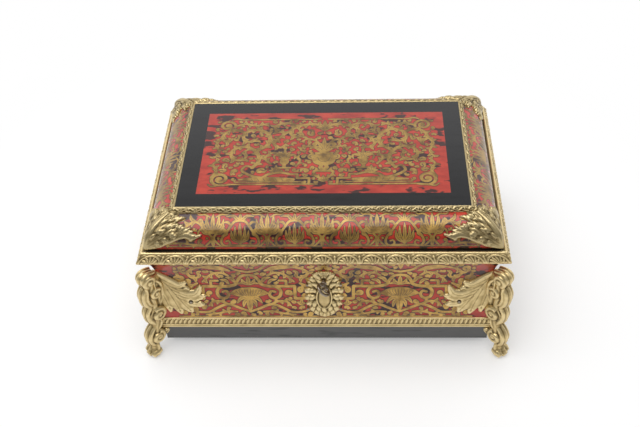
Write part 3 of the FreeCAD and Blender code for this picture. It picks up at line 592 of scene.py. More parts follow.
def even_path(points, spacing):
    """A path with corners, as evenly spaced points along it."""
    points = np.array(points, float)
    length = np.concatenate([[0], np.cumsum(np.linalg.norm(np.diff(points, axis=0), axis=1))])
    places = np.linspace(0, length[-1], max(2, int(length[-1] / spacing) + 1))
    return np.column_stack([np.interp(places, length, column) for column in points.T])


def widths_along(path, widths):
    return np.interp(np.linspace(0, 1, len(path)), np.linspace(0, 1, len(widths)), widths)


print("path helpers ready")

# %% Drawing grid and strokes
far_away = 9.0
stroke_spacing = 0.9
stroke_reach = 1.6
batch = 8
leaf_spacing = 0.7
leaf_shape = np.array([0.35, 0.9, 1.0, 0.7])
leaf_tip_width = 0.15
vein_from_width = 2.3
vein_widths = [0.4, 0.25]
fan_taper = 0.35
fan_bend = 0.16
scroll_steps = 28
scroll_eye_share = 0.22
vine_leaf_angle = 0.95
vine_leaf_width = 0.42
vine_leaf_bend = 0.22


class Drawing:
    """A rectangle of grid points with the distance of each one outside the strokes painted on it."""

    def __init__(self, low, high, cell):
        self.low = np.array(low, float)
        self.cell = cell
        columns, rows = (int(round((b - a) / cell)) + 1 for a, b in zip(low, high))
        self.across = self.low[0] + cell * np.arange(columns)
        self.upward = self.low[1] + cell * np.arange(rows)
        self.brass = np.full((rows, columns), far_away)
        self.cuts = np.full((rows, columns), far_away)
        self.hold(0, 1)

    def hold(self, x, flip):
        """Sets the upright line that strokes are measured from, and their side of it, 1 or -1."""
        self.x = x
        self.flip = flip

    def to(self, points):
        """Points measured from the line, as points of the sheet."""
        return np.array(points, float) * (self.flip, 1) + (self.x, 0)

    def window(self, low, high):
        first = np.clip(np.floor((low - self.low) / self.cell).astype(int), 0, None)
        last = np.clip(np.ceil((high - self.low) / self.cell).astype(int) + 1, 0, None)
        return slice(first[1], last[1]), slice(first[0], last[0])

    def paint(self, path, widths, field=None):
        """Lowers a field to the distance from a path whose width changes along it."""
        field = self.brass if field is None else field
        radii = widths_along(path, widths) / 2
        for first in range(0, len(path) - 1, batch):
            spine = path[first:first + batch + 1]
            radius = radii[first:first + batch + 1]
            room = radius.max() + stroke_reach
            rows, columns = self.window(spine.min(0) - room, spine.max(0) + room)
            if field[rows, columns].size == 0:
                continue
            x = self.across[columns][None, None, :]
            y = self.upward[rows][None, :, None]
            start = spine[:-1, :, None, None]
            step = np.diff(spine, axis=0)[:, :, None, None]
            length_squared = np.maximum(step[:, 0] ** 2 + step[:, 1] ** 2, 1e-12)
            share = ((x - start[:, 0]) * step[:, 0] + (y - start[:, 1]) * step[:, 1]) / length_squared
            share = np.clip(share, 0, 1)
            away = np.hypot(x - start[:, 0] - share * step[:, 0], y - start[:, 1] - share * step[:, 1])
            away -= radius[:-1, None, None] + share * np.diff(radius)[:, None, None]
            field[rows, columns] = np.minimum(field[rows, columns], away.min(0))

    def stem(self, points, widths):
        self.paint(smooth_path(self.to(points), stroke_spacing), widths)

    def strap(self, points, width):
        self.paint(even_path(self.to(points), stroke_spacing), [width, width])

    def bead(self, place, radius):
        self.paint(self.to([place, place]), [2 * radius, 2 * radius])

    def engrave(self, points, width):
        self.paint(smooth_path(self.to(points), stroke_spacing), [width, width], self.cuts)

    def leaf(self, root, tip, width, bend=0.0):
        """A pointed leaf from root to tip, bowed to the left by a share of its length."""
        root, tip = np.array(root, float), np.array(tip, float)
        along = tip - root
        middle = (root + tip) / 2 + bend * np.array([-along[1], along[0]])
        path = smooth_path(self.to([root, middle, tip]), leaf_spacing)
        self.paint(path, [*(width * leaf_shape), leaf_tip_width])
        if width > vein_from_width:
            self.paint(path[len(path) // 4:-len(path) // 5], vein_widths, self.cuts)

    def fan(self, root, heading, reach, count, spread, width):
        """A palmette: leaves spread evenly about a heading in degrees, the middle one longest."""
        for turn in np.linspace(-1, 1, count):
            angle = math.radians(heading + turn * spread)
            length = reach * (1 - fan_taper * abs(turn))
            tip = (root[0] + length * math.cos(angle), root[1] + length * math.sin(angle))
            self.leaf(root, tip, width, -fan_bend * turn)

    def scroll(self, eye, radius, start, turns, widths, bead):
        """A volute that winds in to its eye; negative turns wind clockwise."""
        angles = math.radians(start) + np.linspace(0, 2 * math.pi * turns, int(abs(turns) * scroll_steps) + 2)
        reach = np.linspace(1, scroll_eye_share, len(angles)) * radius
        path = np.column_stack([eye[0] + reach * np.cos(angles), eye[1] + reach * np.sin(angles)])
        self.paint(self.to(path), widths)
        self.bead(eye, bead)

    def vine(self, points, widths, leaf_length, spacing, side=1):
        """A stem with leaves to its left and right by turns."""
        self.stem(points, widths)
        path = smooth_path(points, stroke_spacing)
        heading = np.gradient(path, axis=0)
        for k in range(spacing, len(path) - 2, spacing):
            angle = math.atan2(heading[k, 1], heading[k, 0]) + side * vine_leaf_angle
            tip = path[k] + leaf_length * np.array([math.cos(angle), math.sin(angle)])
            self.leaf(path[k], tip, vine_leaf_width * leaf_length, -vine_leaf_bend * side)
            side = -side

    def at(self, field, points):
        """A field's value at any points."""
        place = (points - self.low) / self.cell
        column = np.clip(place[:, 0].astype(int), 0, field.shape[1] - 2)
        row = np.clip(place[:, 1].astype(int), 0, field.shape[0] - 2)
        right = place[:, 0] - column
        above = place[:, 1] - row
        lower = field[row, column] * (1 - right) + field[row, column + 1] * right
        upper = field[row + 1, column] * (1 - right) + field[row + 1, column + 1] * right
        return lower * (1 - above) + upper * above


print("drawing tools ready")

# %% [markdown]
# ## Sawing a drawing out
# The saw follows the line where the distance passes through a value. Walking round the grid squares that
# the line crosses gives closed outlines, and points that add nothing are left out. Blender can trace
# curves too, but it can't turn a grid of distances into outlines, so the walk is written here.

# %% Outlines of a drawing
edge_walk = {
    1: ["bl"], 2: ["rb"], 3: ["rl"], 4: ["tr"], 5: ["bl", "tr"], 6: ["tb"], 7: ["tl"], 8: ["lt"],
    9: ["bt"], 10: ["rb", "lt"], 11: ["rt"], 12: ["lr"], 13: ["br"], 14: ["lb"],
}


def outlines(drawing, field, level, tolerance):
    """Closed outlines of where a field lies below a level."""
    below = np.pad(field - level, 1, constant_values=far_away)
    rows, columns = below.shape
    inside = below < 0
    case = inside[:-1, :-1] + 2 * inside[:-1, 1:] + 4 * inside[1:, 1:] + 8 * inside[1:, :-1]
    following = {}
    for number, steps in edge_walk.items():
        row, column = np.nonzero(case == number)
        corner = row * columns + column
        edge = {
            "b": 2 * corner,
            "t": 2 * (corner + columns),
            "l": 2 * corner + 1,
            "r": 2 * (corner + 1) + 1,
        }
        for step in steps:
            following.update(zip(edge[step[0]].tolist(), edge[step[1]].tolist()))
    loops = []
    while following:
        first, here = following.popitem()
        loop = [first]
        while here != first:
            loop.append(here)
            here = following.pop(here)
        loops.append(np.array(loop))
    flat = below.ravel()
    drawn = []
    for loop in loops:
        corner = loop // 2
        upright = loop % 2
        other = corner + np.where(upright, columns, 1)
        share = flat[corner] / (flat[corner] - flat[other])
        column = corner % columns + share * (1 - upright)
        row = corner // columns + share * upright
        place = np.column_stack([column, row])
        points = straightened(drawing.low + (place - 1) * drawing.cell, tolerance)
        if len(points) > 3:
            drawn.append(points)
    return drawn


def straightened(points, tolerance):
    """A closed outline without the points that lie within a tolerance of the rest."""
    points = np.vstack([points, points[:1]])
    distant = int(np.argmax(((points - points[0]) ** 2).sum(1)))
    kept = {0, distant}
    spans = [(0, distant), (distant, len(points) - 1)]
    while spans:
        first, last = spans.pop()
        if last - first < 2:
            continue
        chord = points[last] - points[first]
        offset = points[first + 1:last] - points[first]
        away = np.abs(chord[0] * offset[:, 1] - chord[1] * offset[:, 0]) / max(math.hypot(*chord), 1e-9)
        worst = int(np.argmax(away))
        if away[worst] > tolerance:
            middle = first + 1 + worst
            kept.add(middle)
            spans += [(first, middle), (middle, last)]
    return points[sorted(kept)]


print("outline tools ready")

# %% [markdown]
# ## Filling the outlines
# Sheet brass is flat until it is pressed on the curved wall. A constrained triangulation fills the
# outlines in the flat, and each point is then carried to the face. Walls round the rim give the sheet its
# thickness, so that no light shows under it.

# %% Triangles inside outlines
def fill(loops, rows, span, extra=()):
    """Triangles over outlines, cut by straight rows across a span; returns points and corner numbers."""
    points = []
    edges = []
    for loop in loops:
        start = len(points)
        points += loop.tolist()
        edges += [(start + k, start + (k + 1) % len(loop)) for k in range(len(loop))]
    for row in rows:
        points += [(span[0], row), (span[1], row)]
        edges.append((len(points) - 2, len(points) - 1))
    points += [tuple(point) for point in extra]
    found, _, faces, _, _, _ = delaunay_2d_cdt([Vector(point) for point in points], edges, [], 0, 1e-5)
    return np.array([tuple(point) for point in found]), np.array([list(face) for face in faces])


def rim_edges(faces):
    """The directed edges that only one triangle has."""
    pairs = np.vstack([faces[:, [0, 1]], faces[:, [1, 2]], faces[:, [2, 0]]])
    owned = {tuple(pair) for pair in pairs.tolist()}
    return np.array([pair for pair in owned if (pair[1], pair[0]) not in owned])


def with_skirt(points, faces, place, raised, sunk):
    """Points on a face raised off it, with walls from the rim of the triangles down to a sunk level."""
    used = np.unique(faces)
    renumber = np.full(len(points), -1)
    renumber[used] = np.arange(len(used))
    points = points[used]
    faces = renumber[faces]
    raised = np.broadcast_to(raised, renumber.shape)[used]
    rim = rim_edges(faces)
    low = np.unique(rim)
    lowered = np.full(len(points), -1)
    lowered[low] = len(points) + np.arange(len(low))
    top = place(points[:, 0], points[:, 1], raised)
    bottom = place(points[low, 0], points[low, 1], np.full(len(low), sunk))
    walls = np.column_stack([rim[:, 1], rim[:, 0], lowered[rim[:, 0]], lowered[rim[:, 1]]])
    return np.vstack([top, bottom]), faces, walls


print("filling tools ready")

# %% [markdown]
# ## Laying the inlay
# The brass and the mastic round it are one sheet with two finishes, a tenth of a millimetre proud of the
# shell as worn marquetry is. The strokes are widened a little first, because the work looks fuller than
# the drawn lines. Straight rows across the sheet let it bend round the face.

# %% Inlay pieces
inlay_raise = 0.10
inlay_sink = -0.10
mastic_width = 0.50
inlay_cell = 0.25
inlay_tolerance = 0.03
row_height = 2.5


def sawn(drawing, stroke_swell):
    """The triangles of a drawing, its strokes widened a little, and which of them are brass."""
    drawing.brass -= stroke_swell
    brass = np.maximum(drawing.brass, -drawing.cuts)
    loops = outlines(drawing, brass, 0, inlay_tolerance)
    loops += outlines(drawing, drawing.brass, mastic_width, inlay_tolerance)
    rows = np.arange(drawing.upward[0] + row_height, drawing.upward[-1], row_height)
    points, faces = fill(loops, rows, (drawing.across[0] - 1, drawing.across[-1] + 1))
    middles = points[faces].mean(1)
    is_brass = drawing.at(brass, middles) < 0
    kept = is_brass | (drawing.at(drawing.brass, middles) < mastic_width)
    return points, faces[kept], is_brass[kept]


def lay_inlay(name, cut, place, body, brass):
    points, faces, is_brass = cut
    world, faces, walls = with_skirt(points, faces, place, inlay_raise, inlay_sink)
    finish_of = np.concatenate([np.where(is_brass, 0, 1), np.ones(len(walls), int)])
    piece = new_piece(name, world, faces.tolist() + walls.tolist(), [brass, mastic], finish_of, smooth=False)
    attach(piece, body)
    print(name, len(faces), "triangles")


print("inlay stands", inlay_raise, "mm proud")

# %% [markdown]
# ## Drawing a motif and its mirror image
# Every motif on the casket is the same on both sides of an upright line. It is written once, as its right
# half, and drawn twice. Mirroring the finished sheet would also do, but not for motifs that stand beside
# the middle.

# %% Both halves of a motif
def draw_both(drawing, x, half_motif):
    for flip in (1, -1):
        drawing.hold(x, flip)
        half_motif(drawing)
    drawing.hold(0, 1)


print("mirroring ready")

# %% [markdown]
# ## Filling the bare places
# The sawyers left hardly any shell bare: every gap between the main lines holds a curl or a small leaf.
# The same is done here. A lattice of places is tried, wide ones first; where a place has room, a curl
# with a leaf is drawn in it, turned a little further each time, and its mirror image on the other side.

# %% Curls in the gaps
curl_room = 0.6
curl_sizes = (5.6, 4.2, 3.2, 2.4)
curl_reach = 0.8
curl_turns = 0.8
curl_step = 0.9
curl_margin = 0.6
curl_stagger = 0.45
golden_angle = 137.5
curl_leaf_turn = 25
curl_leaf_length = 1.25


def draw_curl(pen, place, size, turn, turns):
    widths = [0.30 * size, 0.36 * size, 0.24 * size]
    pen.scroll(place, curl_reach * size, turn, turns, widths, 0.2 * size)
    angle = math.radians(turn + curl_leaf_turn)
    tip = (
        place[0] + curl_leaf_length * size * math.cos(angle),
        place[1] + curl_leaf_length * size * math.sin(angle),
    )
    pen.leaf(place, tip, 0.42 * size, 0.25)


def lattice(low, high, size):
    """Places for curls of a size, every other row set over."""
    margin = curl_margin * size
    for row, y in enumerate(np.arange(low[1] + size, high[1] - margin, curl_step * size)):
        set_over = size * (1 + curl_stagger * (row % 2))
        for x in np.arange(low[0] + set_over, high[0] - margin, curl_step * size):
            yield np.array([x, y])


def sow_curls(drawing, low, high):
    """Draws curls in the bare parts of a drawing's right half, and their mirror images."""
    count = 0
    for size in curl_sizes:
        for place in lattice(low, high, size):
            patch = drawing.brass[drawing.window(place - curl_reach * size, place + curl_reach * size)]
            if patch.size == 0 or patch.min() < curl_room:
                continue
            turn = golden_angle * count
            count += 1
            turns = curl_turns if count % 2 else -curl_turns
            draw_both(drawing, 0, lambda pen: draw_curl(pen, place, size, turn, turns))
    print(count, "curls sown")


print("curl sower ready")

# %% [markdown]
# ## Band of the lid
# The quarter round carries bell-shaped arches with a lily inside each, and between them crossed straps
# under a palmette. The arches stand about 52 mm apart, and sprays of leaves run out under the corner
# mounts. A fine line closes the work below, over a stripe of plain shell. The motifs are written as
# strokes of the pen, in the order in which a draughtsman would set them down.

# %% Motifs of the lid band
motif_spacing = 52.5
thin_line = 0.55


def bell_arch(pen):
    bell = [(0, 29.6), (5, 28.4), (9, 23.6), (12.4, 18.6), (16.6, 13.6), (18.2, 9)]
    curl = [(16.9, 5.1), (13, 3.8), (9.7, 6.2), (10.8, 9.6), (13.6, 9.0)]
    pen.stem(bell + curl, [2.3, 1.9, 1.9, 2.1, 1.9, 1.5, 1.1])
    pen.strap([(0, 4.6), (9.6, 4.6)], 1.4)
    pen.leaf((0, 8), (0, 26.5), 3.2)
    pen.leaf((0.5, 8), (4.6, 23.5), 2.6, -0.12)
    pen.leaf((0.5, 7.5), (8.4, 19.6), 3.1, -0.2)
    pen.leaf((0.5, 7), (8.8, 12.6), 2.5, 0.22)
    pen.bead((0, 7.5), 1.7)
    pen.leaf((0, 29.5), (0, 37), 2.8)
    pen.leaf((0, 29.5), (6.6, 36), 2.6, -0.15)
    pen.leaf((1, 29.5), (13.5, 33.6), 2.6, 0.2)
    pen.leaf((9, 24.5), (15.6, 27.4), 2.2, 0.25)
    pen.leaf((13.5, 18.2), (17.4, 22.2), 1.9, -0.25)
    pen.engrave([(0, 11), (0, 21)], 0.35)


def crossed_straps(pen):
    pen.stem([(8.2, 3.4), (5, 6), (0, 12), (-5, 18.2), (-7.6, 21.6), (-8.4, 24.8), (-6, 26.2)],
             [0.9, 1.7, 1.7, 1.7, 1.5, 1.0])
    pen.bead((0, 12), 2.1)
    pen.bead((5.4, 12), 1.1)
    pen.leaf((0, 10), (0, 2.6), 3.0)
    pen.leaf((0, 17), (0, 37), 3.8)
    pen.leaf((0.5, 17.5), (5.8, 35.4), 3.2, -0.12)
    pen.leaf((0.8, 17.5), (10.6, 31), 3.2, -0.2)
    pen.leaf((1, 17), (11.4, 24.4), 2.7, -0.28)
    pen.stem([(3, 33), (8, 36), (13, 35.6), (15.4, 37.2)], [0.9, 1.5, 1.2, 0.5])
    pen.stem([(8, 22), (12.5, 20), (14, 16), (11.4, 14.4)], [0.8, 1.4, 1.2, 0.9])


def end_spray(pen):
    pen.vine([(8, 22), (16, 28), (25, 24), (31, 16), (40, 14), (50, 20)], [1.6, 2.2, 2.0, 1.6, 0.8], 6.0, 6)
    pen.scroll((21, 14), 6.4, 60, -1.2, [1.8, 1.8, 1.0], 1.4)
    pen.vine([(10, 5), (20, 5.4), (32, 7), (44, 6)], [1.4, 1.8, 1.6, 0.6], 5.0, 7, -1)
    pen.leaf((16, 28), (22, 36), 3.0, -0.2)


print("lid motifs drawn, spacing", motif_spacing, "mm")

# %% Lid bands
band_top = ovolo[-1, 0]
band_line = 3.4
band_swell = 0.20
long_half = 150
short_half = 92


def lid_band(half_length, arches):
    drawing = Drawing((-half_length, 0.3), (half_length, band_top - 0.2), inlay_cell)
    middle = (arches - 1) / 2
    for number in range(arches):
        draw_both(drawing, (number - middle) * motif_spacing, bell_arch)
    for number in range(arches + 1):
        draw_both(drawing, (number - middle - 0.5) * motif_spacing, crossed_straps)
    end = arches / 2 * motif_spacing
    for flip in (1, -1):
        drawing.hold(flip * end, flip)
        end_spray(drawing)
    drawing.hold(0, 1)
    sow_curls(drawing, (0, band_line), (half_length, band_top - 1))
    drawing.strap([(-half_length, band_line), (half_length, band_line)], thin_line)
    return sawn(drawing, band_swell)


long_band = lid_band(long_half, arches=4)
short_band = lid_band(short_half, arches=2)
bands = {"front": long_band, "back": long_band, "left": short_band, "right": short_band}
for side, band in bands.items():
    lay_inlay("lid_band_" + side, band, on_face(side, ovolo), "lid", shaded_lid_brass)

# %% [markdown]
# ## Panels of the walls
# Each wall panel is strapwork: a cup of strap hangs from the top border, a bell arch stands under it with
# a scroll at either foot, straps run out and turn square corners, and a feathered cartouche fills the
# middle. The front has one panel on each side of the lock plate, the ends have one, and the back has two
# round a rosette of leaves. Half a panel is written, and its mirror image completes it.

# %% Motif of the wall panels
panel_centre = 76.0


def wall_half(pen):
    pen.stem([(66, 79), (50, 80.4), (34, 80.2), (24, 78.5), (17.5, 73), (11.5, 66), (0, 62.4)],
             [1.5, 2.0, 2.0, 2.0, 2.2])
    pen.leaf((0, 83), (0, 68), 4.4)
    pen.leaf((0, 80), (7.5, 72.5), 3.4, 0.25)
    pen.leaf((0, 82), (12.5, 78.5), 2.6, 0.2)
    pen.stem([(18, 64.6), (25, 68.6), (35, 71.5), (46, 71)], [1.6, 6.4, 7.2, 1.2])
    pen.vine([(46, 71), (54, 68), (60, 61), (56, 54), (49, 55), (50, 61)], [2.2, 2.4, 2.2, 1.8, 1.2], 6.0, 6)
    bell = [(0, 57.6), (6, 56.2), (10.4, 50.4), (13, 44.8), (20, 42.4), (27.5, 41.6)]
    foot = [(32.2, 36.4), (30.6, 29.6), (25, 27.4), (20.8, 31.4), (22.6, 36.2), (26.6, 35.4)]
    pen.stem(bell + foot, [2.4, 2.2, 2.2, 2.2, 2.0, 1.4])
    pen.strap([(29, 42.2), (46.5, 42.2), (46.5, 27), (61, 27), (61, 19)], 2.0)
    pen.strap([(38, 42.2), (38, 49.5), (31, 49.5)], 1.6)
    pen.leaf((0, 45), (0, 55), 3.2)
    pen.leaf((0, 45), (6.4, 51.4), 2.8, -0.2)
    pen.leaf((1, 44.5), (9.8, 45.4), 2.4, 0.2)
    pen.stem([(0, 34.6), (8, 34.6), (14, 34.2), (18.6, 33.6)], [11.4, 10.4, 7.0, 0.8])
    for feather in range(5):
        reach = 1.6 + 2.9 * feather
        pen.engrave([(0.5 * reach, 30.4), (0.9 * reach, 34.4), (reach, 38.6 - 0.35 * feather)], 0.4)
    pen.leaf((0, 29), (0, 9.4), 5.4)
    pen.leaf((0.5, 27), (6.6, 16.4), 3.0, 0.15)
    pen.leaf((1, 28), (12.6, 21.2), 3.0, 0.22)
    pen.stem([(0, 9), (9, 13.4), (22, 19.4), (33, 15), (42, 9), (54, 9), (66, 15)],
             [1.5, 2.0, 2.0, 2.0, 1.8, 1.2])
    pen.vine([(22, 19.4), (29, 23.4), (38, 22.6), (42, 17.4)], [1.4, 1.8, 1.4, 0.7], 5.0, 5)
    pen.vine([(14, 9), (24, 9.4), (34, 6.4), (46, 4.8)], [1.3, 1.7, 1.5, 0.6], 4.6, 6, -1)
    pen.vine([(20, 57), (26, 61), (34, 60), (40, 55), (46, 48)], [1.6, 2.2, 2.0, 1.4, 0.8], 5.6, 5)
    pen.leaf((14, 48), (22, 54), 3.2, 0.2)
    pen.leaf((20, 46), (28, 51), 2.6, 0.2)
    pen.vine([(52, 46), (58, 42), (63, 36), (68, 37)], [1.4, 2.0, 1.6, 0.7], 5.6, 5)
    pen.fan((52, 19), 80, 7.0, 3, 60, 2.6)


def wall_rosette(pen):
    pen.fan((0, 46), 90, 20, 5, 62, 4.6)
    pen.fan((0, 38), -90, 20, 5, 62, 4.6)
    pen.leaf((1, 42), (15, 42), 5.0)
    pen.bead((0, 42), 4.2)
    pen.stem([(0, 68), (6, 72), (10, 78), (7, 82)], [1.6, 2.0, 1.6, 0.8])
    pen.stem([(0, 17), (6, 13), (10, 8), (7, 4)], [1.6, 2.0, 1.6, 0.8])
    pen.engrave([(0, 50), (0, 62)], 0.4)
    pen.engrave([(0, 34), (0, 22)], 0.4)


print("wall motifs drawn, panels at", panel_centre, "mm from the middle")

# %% Wall panels
face_height = ogee[-1, 0]
wall_swell = 0.62
border_line = 2.0
curl_border = 3.0


def wall_drawing(half_length, centres, rosette):
    drawing = Drawing((-half_length, 0.4), (half_length, face_height - 0.3), inlay_cell)
    for centre in centres:
        draw_both(drawing, centre, wall_half)
    if rosette:
        draw_both(drawing, 0, wall_rosette)
    sow_curls(drawing, (0, curl_border), (half_length, face_height - curl_border))
    for level in (border_line, face_height - border_line):
        drawing.strap([(-half_length, level), (half_length, level)], thin_line)
    return sawn(drawing, wall_swell)


end_panels = wall_drawing(short_half, (0,), rosette=False)
wall_panels = {
    "front": wall_drawing(long_half, (-panel_centre, panel_centre), rosette=False),
    "back": wall_drawing(long_half, (-panel_centre, panel_centre), rosette=True),
    "left": end_panels,
    "right": end_panels,
}
for side, panels in wall_panels.items():
    lay_inlay("wall_panel_" + side, panels, on_face(side, ogee), "case", wall_brass)

# %% [markdown]
# ## Picture of the top
# The top is the showpiece: an arabesque of scrolls and leaves on a stepped base of straps. Here an urn of
# flowers stands in the middle with a small vase at either side, framed by large leafy scrolls, all the
# same left and right. The drawing leaves a margin of plain shell all round.

# %% Lower part of the top
def top_base(pen):
    pen.strap([(6, -51), (92, -51)], 1.3)
    pen.strap([(22, -47.6), (88, -47.6)], 0.9)
    pen.scroll((103, -43), 9.4, -80, 1.5, [2.6, 3.0, 2.4, 1.6], 2.2)
    pen.stem([(92, -51), (98, -52), (104, -52.4), (110, -54), (114, -51)], [1.6, 2.4, 2.0, 1.4, 0.8])
    pen.vine([(112, -40), (108, -30), (112, -20), (106, -12)], [2.2, 2.4, 1.8, 0.8], 6.0, 5)
    pen.strap([(14, -51), (14, -42), (26, -42), (26, -36), (33, -36)], 2.0)
    pen.stem([(30, -44), (46, -44), (66, -43), (84, -44)], [3.4, 6.4, 5.6, 1.4])
    pen.stem([(33, -36), (44, -33), (55, -36), (62, -41), (74, -37), (82, -30), (78, -23), (71, -26)],
             [2.4, 2.8, 3.0, 2.8, 2.6, 2.2, 1.6])
    pen.fan((48, -34), 90, 12, 5, 60, 3.0)
    pen.vine([(0, -44), (6, -40), (10, -33), (6, -29)], [2.2, 2.4, 2.0, 1.2], 5.0, 5)
    pen.fan((0, -47), 90, 9, 5, 66, 3.2)
    for notch in range(6):
        pen.engrave([(40 + 6 * notch, -46), (42 + 6 * notch, -42)], 0.4)


def top_urn(pen):
    pen.strap([(0, -31), (9, -31)], 2.4)
    pen.stem([(0, -29), (3, -26), (2.4, -22)], [4, 4, 3])
    pen.stem([(0, -18), (6, -16), (8.6, -10), (6.6, -4)], [9, 9, 6, 3])
    pen.stem([(0, -9), (4, -9), (7, -8)], [14, 12, 6])
    pen.strap([(0, -3), (8.4, -3)], 1.8)
    pen.scroll((12, -9), 4.4, 100, -1.3, [1.6, 1.6, 1.0], 1.2)
    pen.engrave([(0, -17), (4.4, -15), (6.6, -9)], 0.4)
    pen.engrave([(0, -6), (7, -6)], 0.4)
    pen.fan((0, -2), 90, 24, 5, 50, 4.2)
    pen.vine([(3, -1), (10, 6), (18, 8), (24, 3), (20, -2)], [1.8, 2.2, 2.0, 1.6, 1.2], 5.6, 5)
    pen.vine([(2, 4), (8, 16), (17, 20), (25, 15)], [1.8, 2.0, 1.8, 1.0], 5.4, 5)
    for place, size in (((10, 11), 2.4), ((15.4, 14.4), 2.0), ((6, 22), 2.2), ((21, 8.6), 1.8)):
        pen.bead(place, size)


def top_vase(pen):
    pen.strap([(-6, -26), (6, -26)], 1.8)
    pen.stem([(0, -25), (0, -21), (0, -17), (0, -12)], [3, 3, 9, 7])
    pen.strap([(-5, -11), (5, -11)], 1.4)
    pen.fan((0, -11), 90, 15, 5, 62, 3.0)
    pen.stem([(0, -11), (6, -5), (11, -7), (10, -12)], [1.2, 1.6, 1.4, 0.9])
    pen.bead((0, 5), 1.8)


print("base, urn and vases drawn")

# %% Scrolls of the top
def top_scrolls(pen):
    pen.vine([(72, -26), (66, -14), (70, 0), (82, 8), (94, 2), (94, -10), (85, -14), (79, -7), (84, -2)],
             [3.0, 3.6, 3.8, 3.4, 3.0, 2.6, 2.0, 1.4], 7.4, 6)
    pen.vine([(70, 0), (58, 12), (58, 27), (70, 36), (83, 31), (84, 19), (75, 16), (70, 22)],
             [3.2, 3.6, 3.8, 3.4, 3.0, 2.4, 1.6], 7.4, 6, -1)
    pen.vine([(83, 31), (94, 36), (103, 32), (107, 22), (100, 15), (96, 21)],
             [2.8, 3.0, 2.8, 2.4, 1.6], 7.0, 5)
    pen.scroll((103, 43), 8.6, 200, -1.4, [2.4, 2.6, 2.2, 1.4], 2.0)
    pen.vine([(95, 42), (84, 46), (72, 43), (60, 47)], [2.2, 2.6, 2.4, 1.4], 6.6, 5)
    pen.vine([(0, 40), (12, 45), (26, 42), (36, 34), (32, 24), (23, 26), (26, 33)],
             [2.6, 3.0, 3.2, 3.0, 2.4, 1.6], 7.0, 5)
    pen.vine([(26, 42), (40, 47), (52, 42), (50, 32), (43, 32)], [2.6, 2.8, 2.6, 2.0, 1.2], 6.6, 5, -1)
    pen.vine([(36, 34), (46, 24), (52, 12), (45, 6), (40, 12)], [2.4, 2.8, 2.4, 2.0, 1.2], 6.6, 5)
    pen.vine([(107, 22), (112, 12), (108, 0), (112, -10)], [2.0, 2.4, 2.0, 1.0], 6.2, 5)
    pen.fan((0, 34), 90, 17, 5, 58, 4.0)
    pen.strap([(4, 53.4), (88, 53.4)], 1.2)
    pen.stem([(88, 53.4), (94, 55), (99, 53)], [1.4, 2.0, 0.8])
    pen.vine([(54, -20), (60, -10), (52, -2), (44, -6)], [2.0, 2.4, 2.0, 1.0], 6.0, 5)
    pen.vine([(28, -24), (24, -14), (30, -8)], [1.4, 1.8, 1.0], 5.0, 5)


print("scrolls drawn")

# %% Top
vase_off_middle = 40
top_margin = 1
top_field_low = (0, -52)
top_field_high = (115, 53)
top_swell = 0.32


def on_top(along, across, raised):
    return np.stack([along, across, panel_level + raised], axis=-1) * MM


top_low, top_high = box_mm("lid_marquetry")
top_drawing = Drawing(
    (top_low.x + top_margin, top_low.y + top_margin),
    (top_high.x - top_margin, top_high.y - top_margin),
    inlay_cell,
)
for motif in (top_base, top_urn, top_scrolls):
    draw_both(top_drawing, 0, motif)
for flip in (1, -1):
    draw_both(top_drawing, flip * vase_off_middle, top_vase)
sow_curls(top_drawing, top_field_low, top_field_high)
lay_inlay("top_picture", sawn(top_drawing, top_swell), on_top, "lid", shaded_lid_brass)

# %% [markdown]
# ## Toning the castings
# Gilders leave the ridges bright and let the hollows go dark. To find ridges and hollows, each casting is
# smoothed in memory: where the smoothed surface stands above the real one there is a hollow, and where it
# falls below there is a ridge. The difference is stored on the points for the gilt finish to read.

# %% Toning
tone_rounds = 10
tone_depth = 0.55
tone_middle = 0.42
tone_ease = 0.7


def read_array(items, name, width, kind):
    """A property of all items of a mesh, as rows of numbers."""
    values = np.empty(len(items) * width, kind)
    items.foreach_get(name, values)
    return values.reshape(-1, width)


def tone(piece):
    """Stores hollows and ridges, in shares of a depth in millimetres, as the attribute of the gilt finish."""
    mesh = piece.data
    count = len(mesh.vertices)
    place = read_array(mesh.vertices, "co", 3, float)
    normal = read_array(mesh.vertices, "normal", 3, float)
    first, second = read_array(mesh.edges, "vertices", 2, int).T
    links = np.maximum(np.bincount(first, minlength=count) + np.bincount(second, minlength=count), 1)
    smooth = place.copy()
    for turn in range(tone_rounds):
        total = np.column_stack([
            np.bincount(first, smooth[second, axis], count) + np.bincount(second, smooth[first, axis], count)
            for axis in range(3)
        ])
        smooth = (1 - tone_ease) * smooth + tone_ease * total / links[:, None]
    rise = ((smooth - place) * normal).sum(1) / MM
    attribute = mesh.attributes.new("hollow", "FLOAT", "POINT")
    attribute.data.foreach_set("value", np.clip(tone_middle + rise / tone_depth, 0, 1).astype(np.float32))


def gild(piece, body, *replaced):
    """Finishes a casting: toned, riding on its body and standing for its solids."""
    tone(piece)
    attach(piece, body)
    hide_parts(*replaced)
    print(piece.name, len(piece.data.polygons), "faces")


print("toning ready")

# %% [markdown]
# ## Relief tiles
# The mouldings were cast in lengths from one short pattern that repeats. A tile is that pattern: rounded
# strokes on a small grid, wrapped at its ends. A stroke's section is a half ellipse, like a bead of clay
# laid on a board.

# %% Relief tile
ridge_spacing = 0.5
seat_slope = 2.0


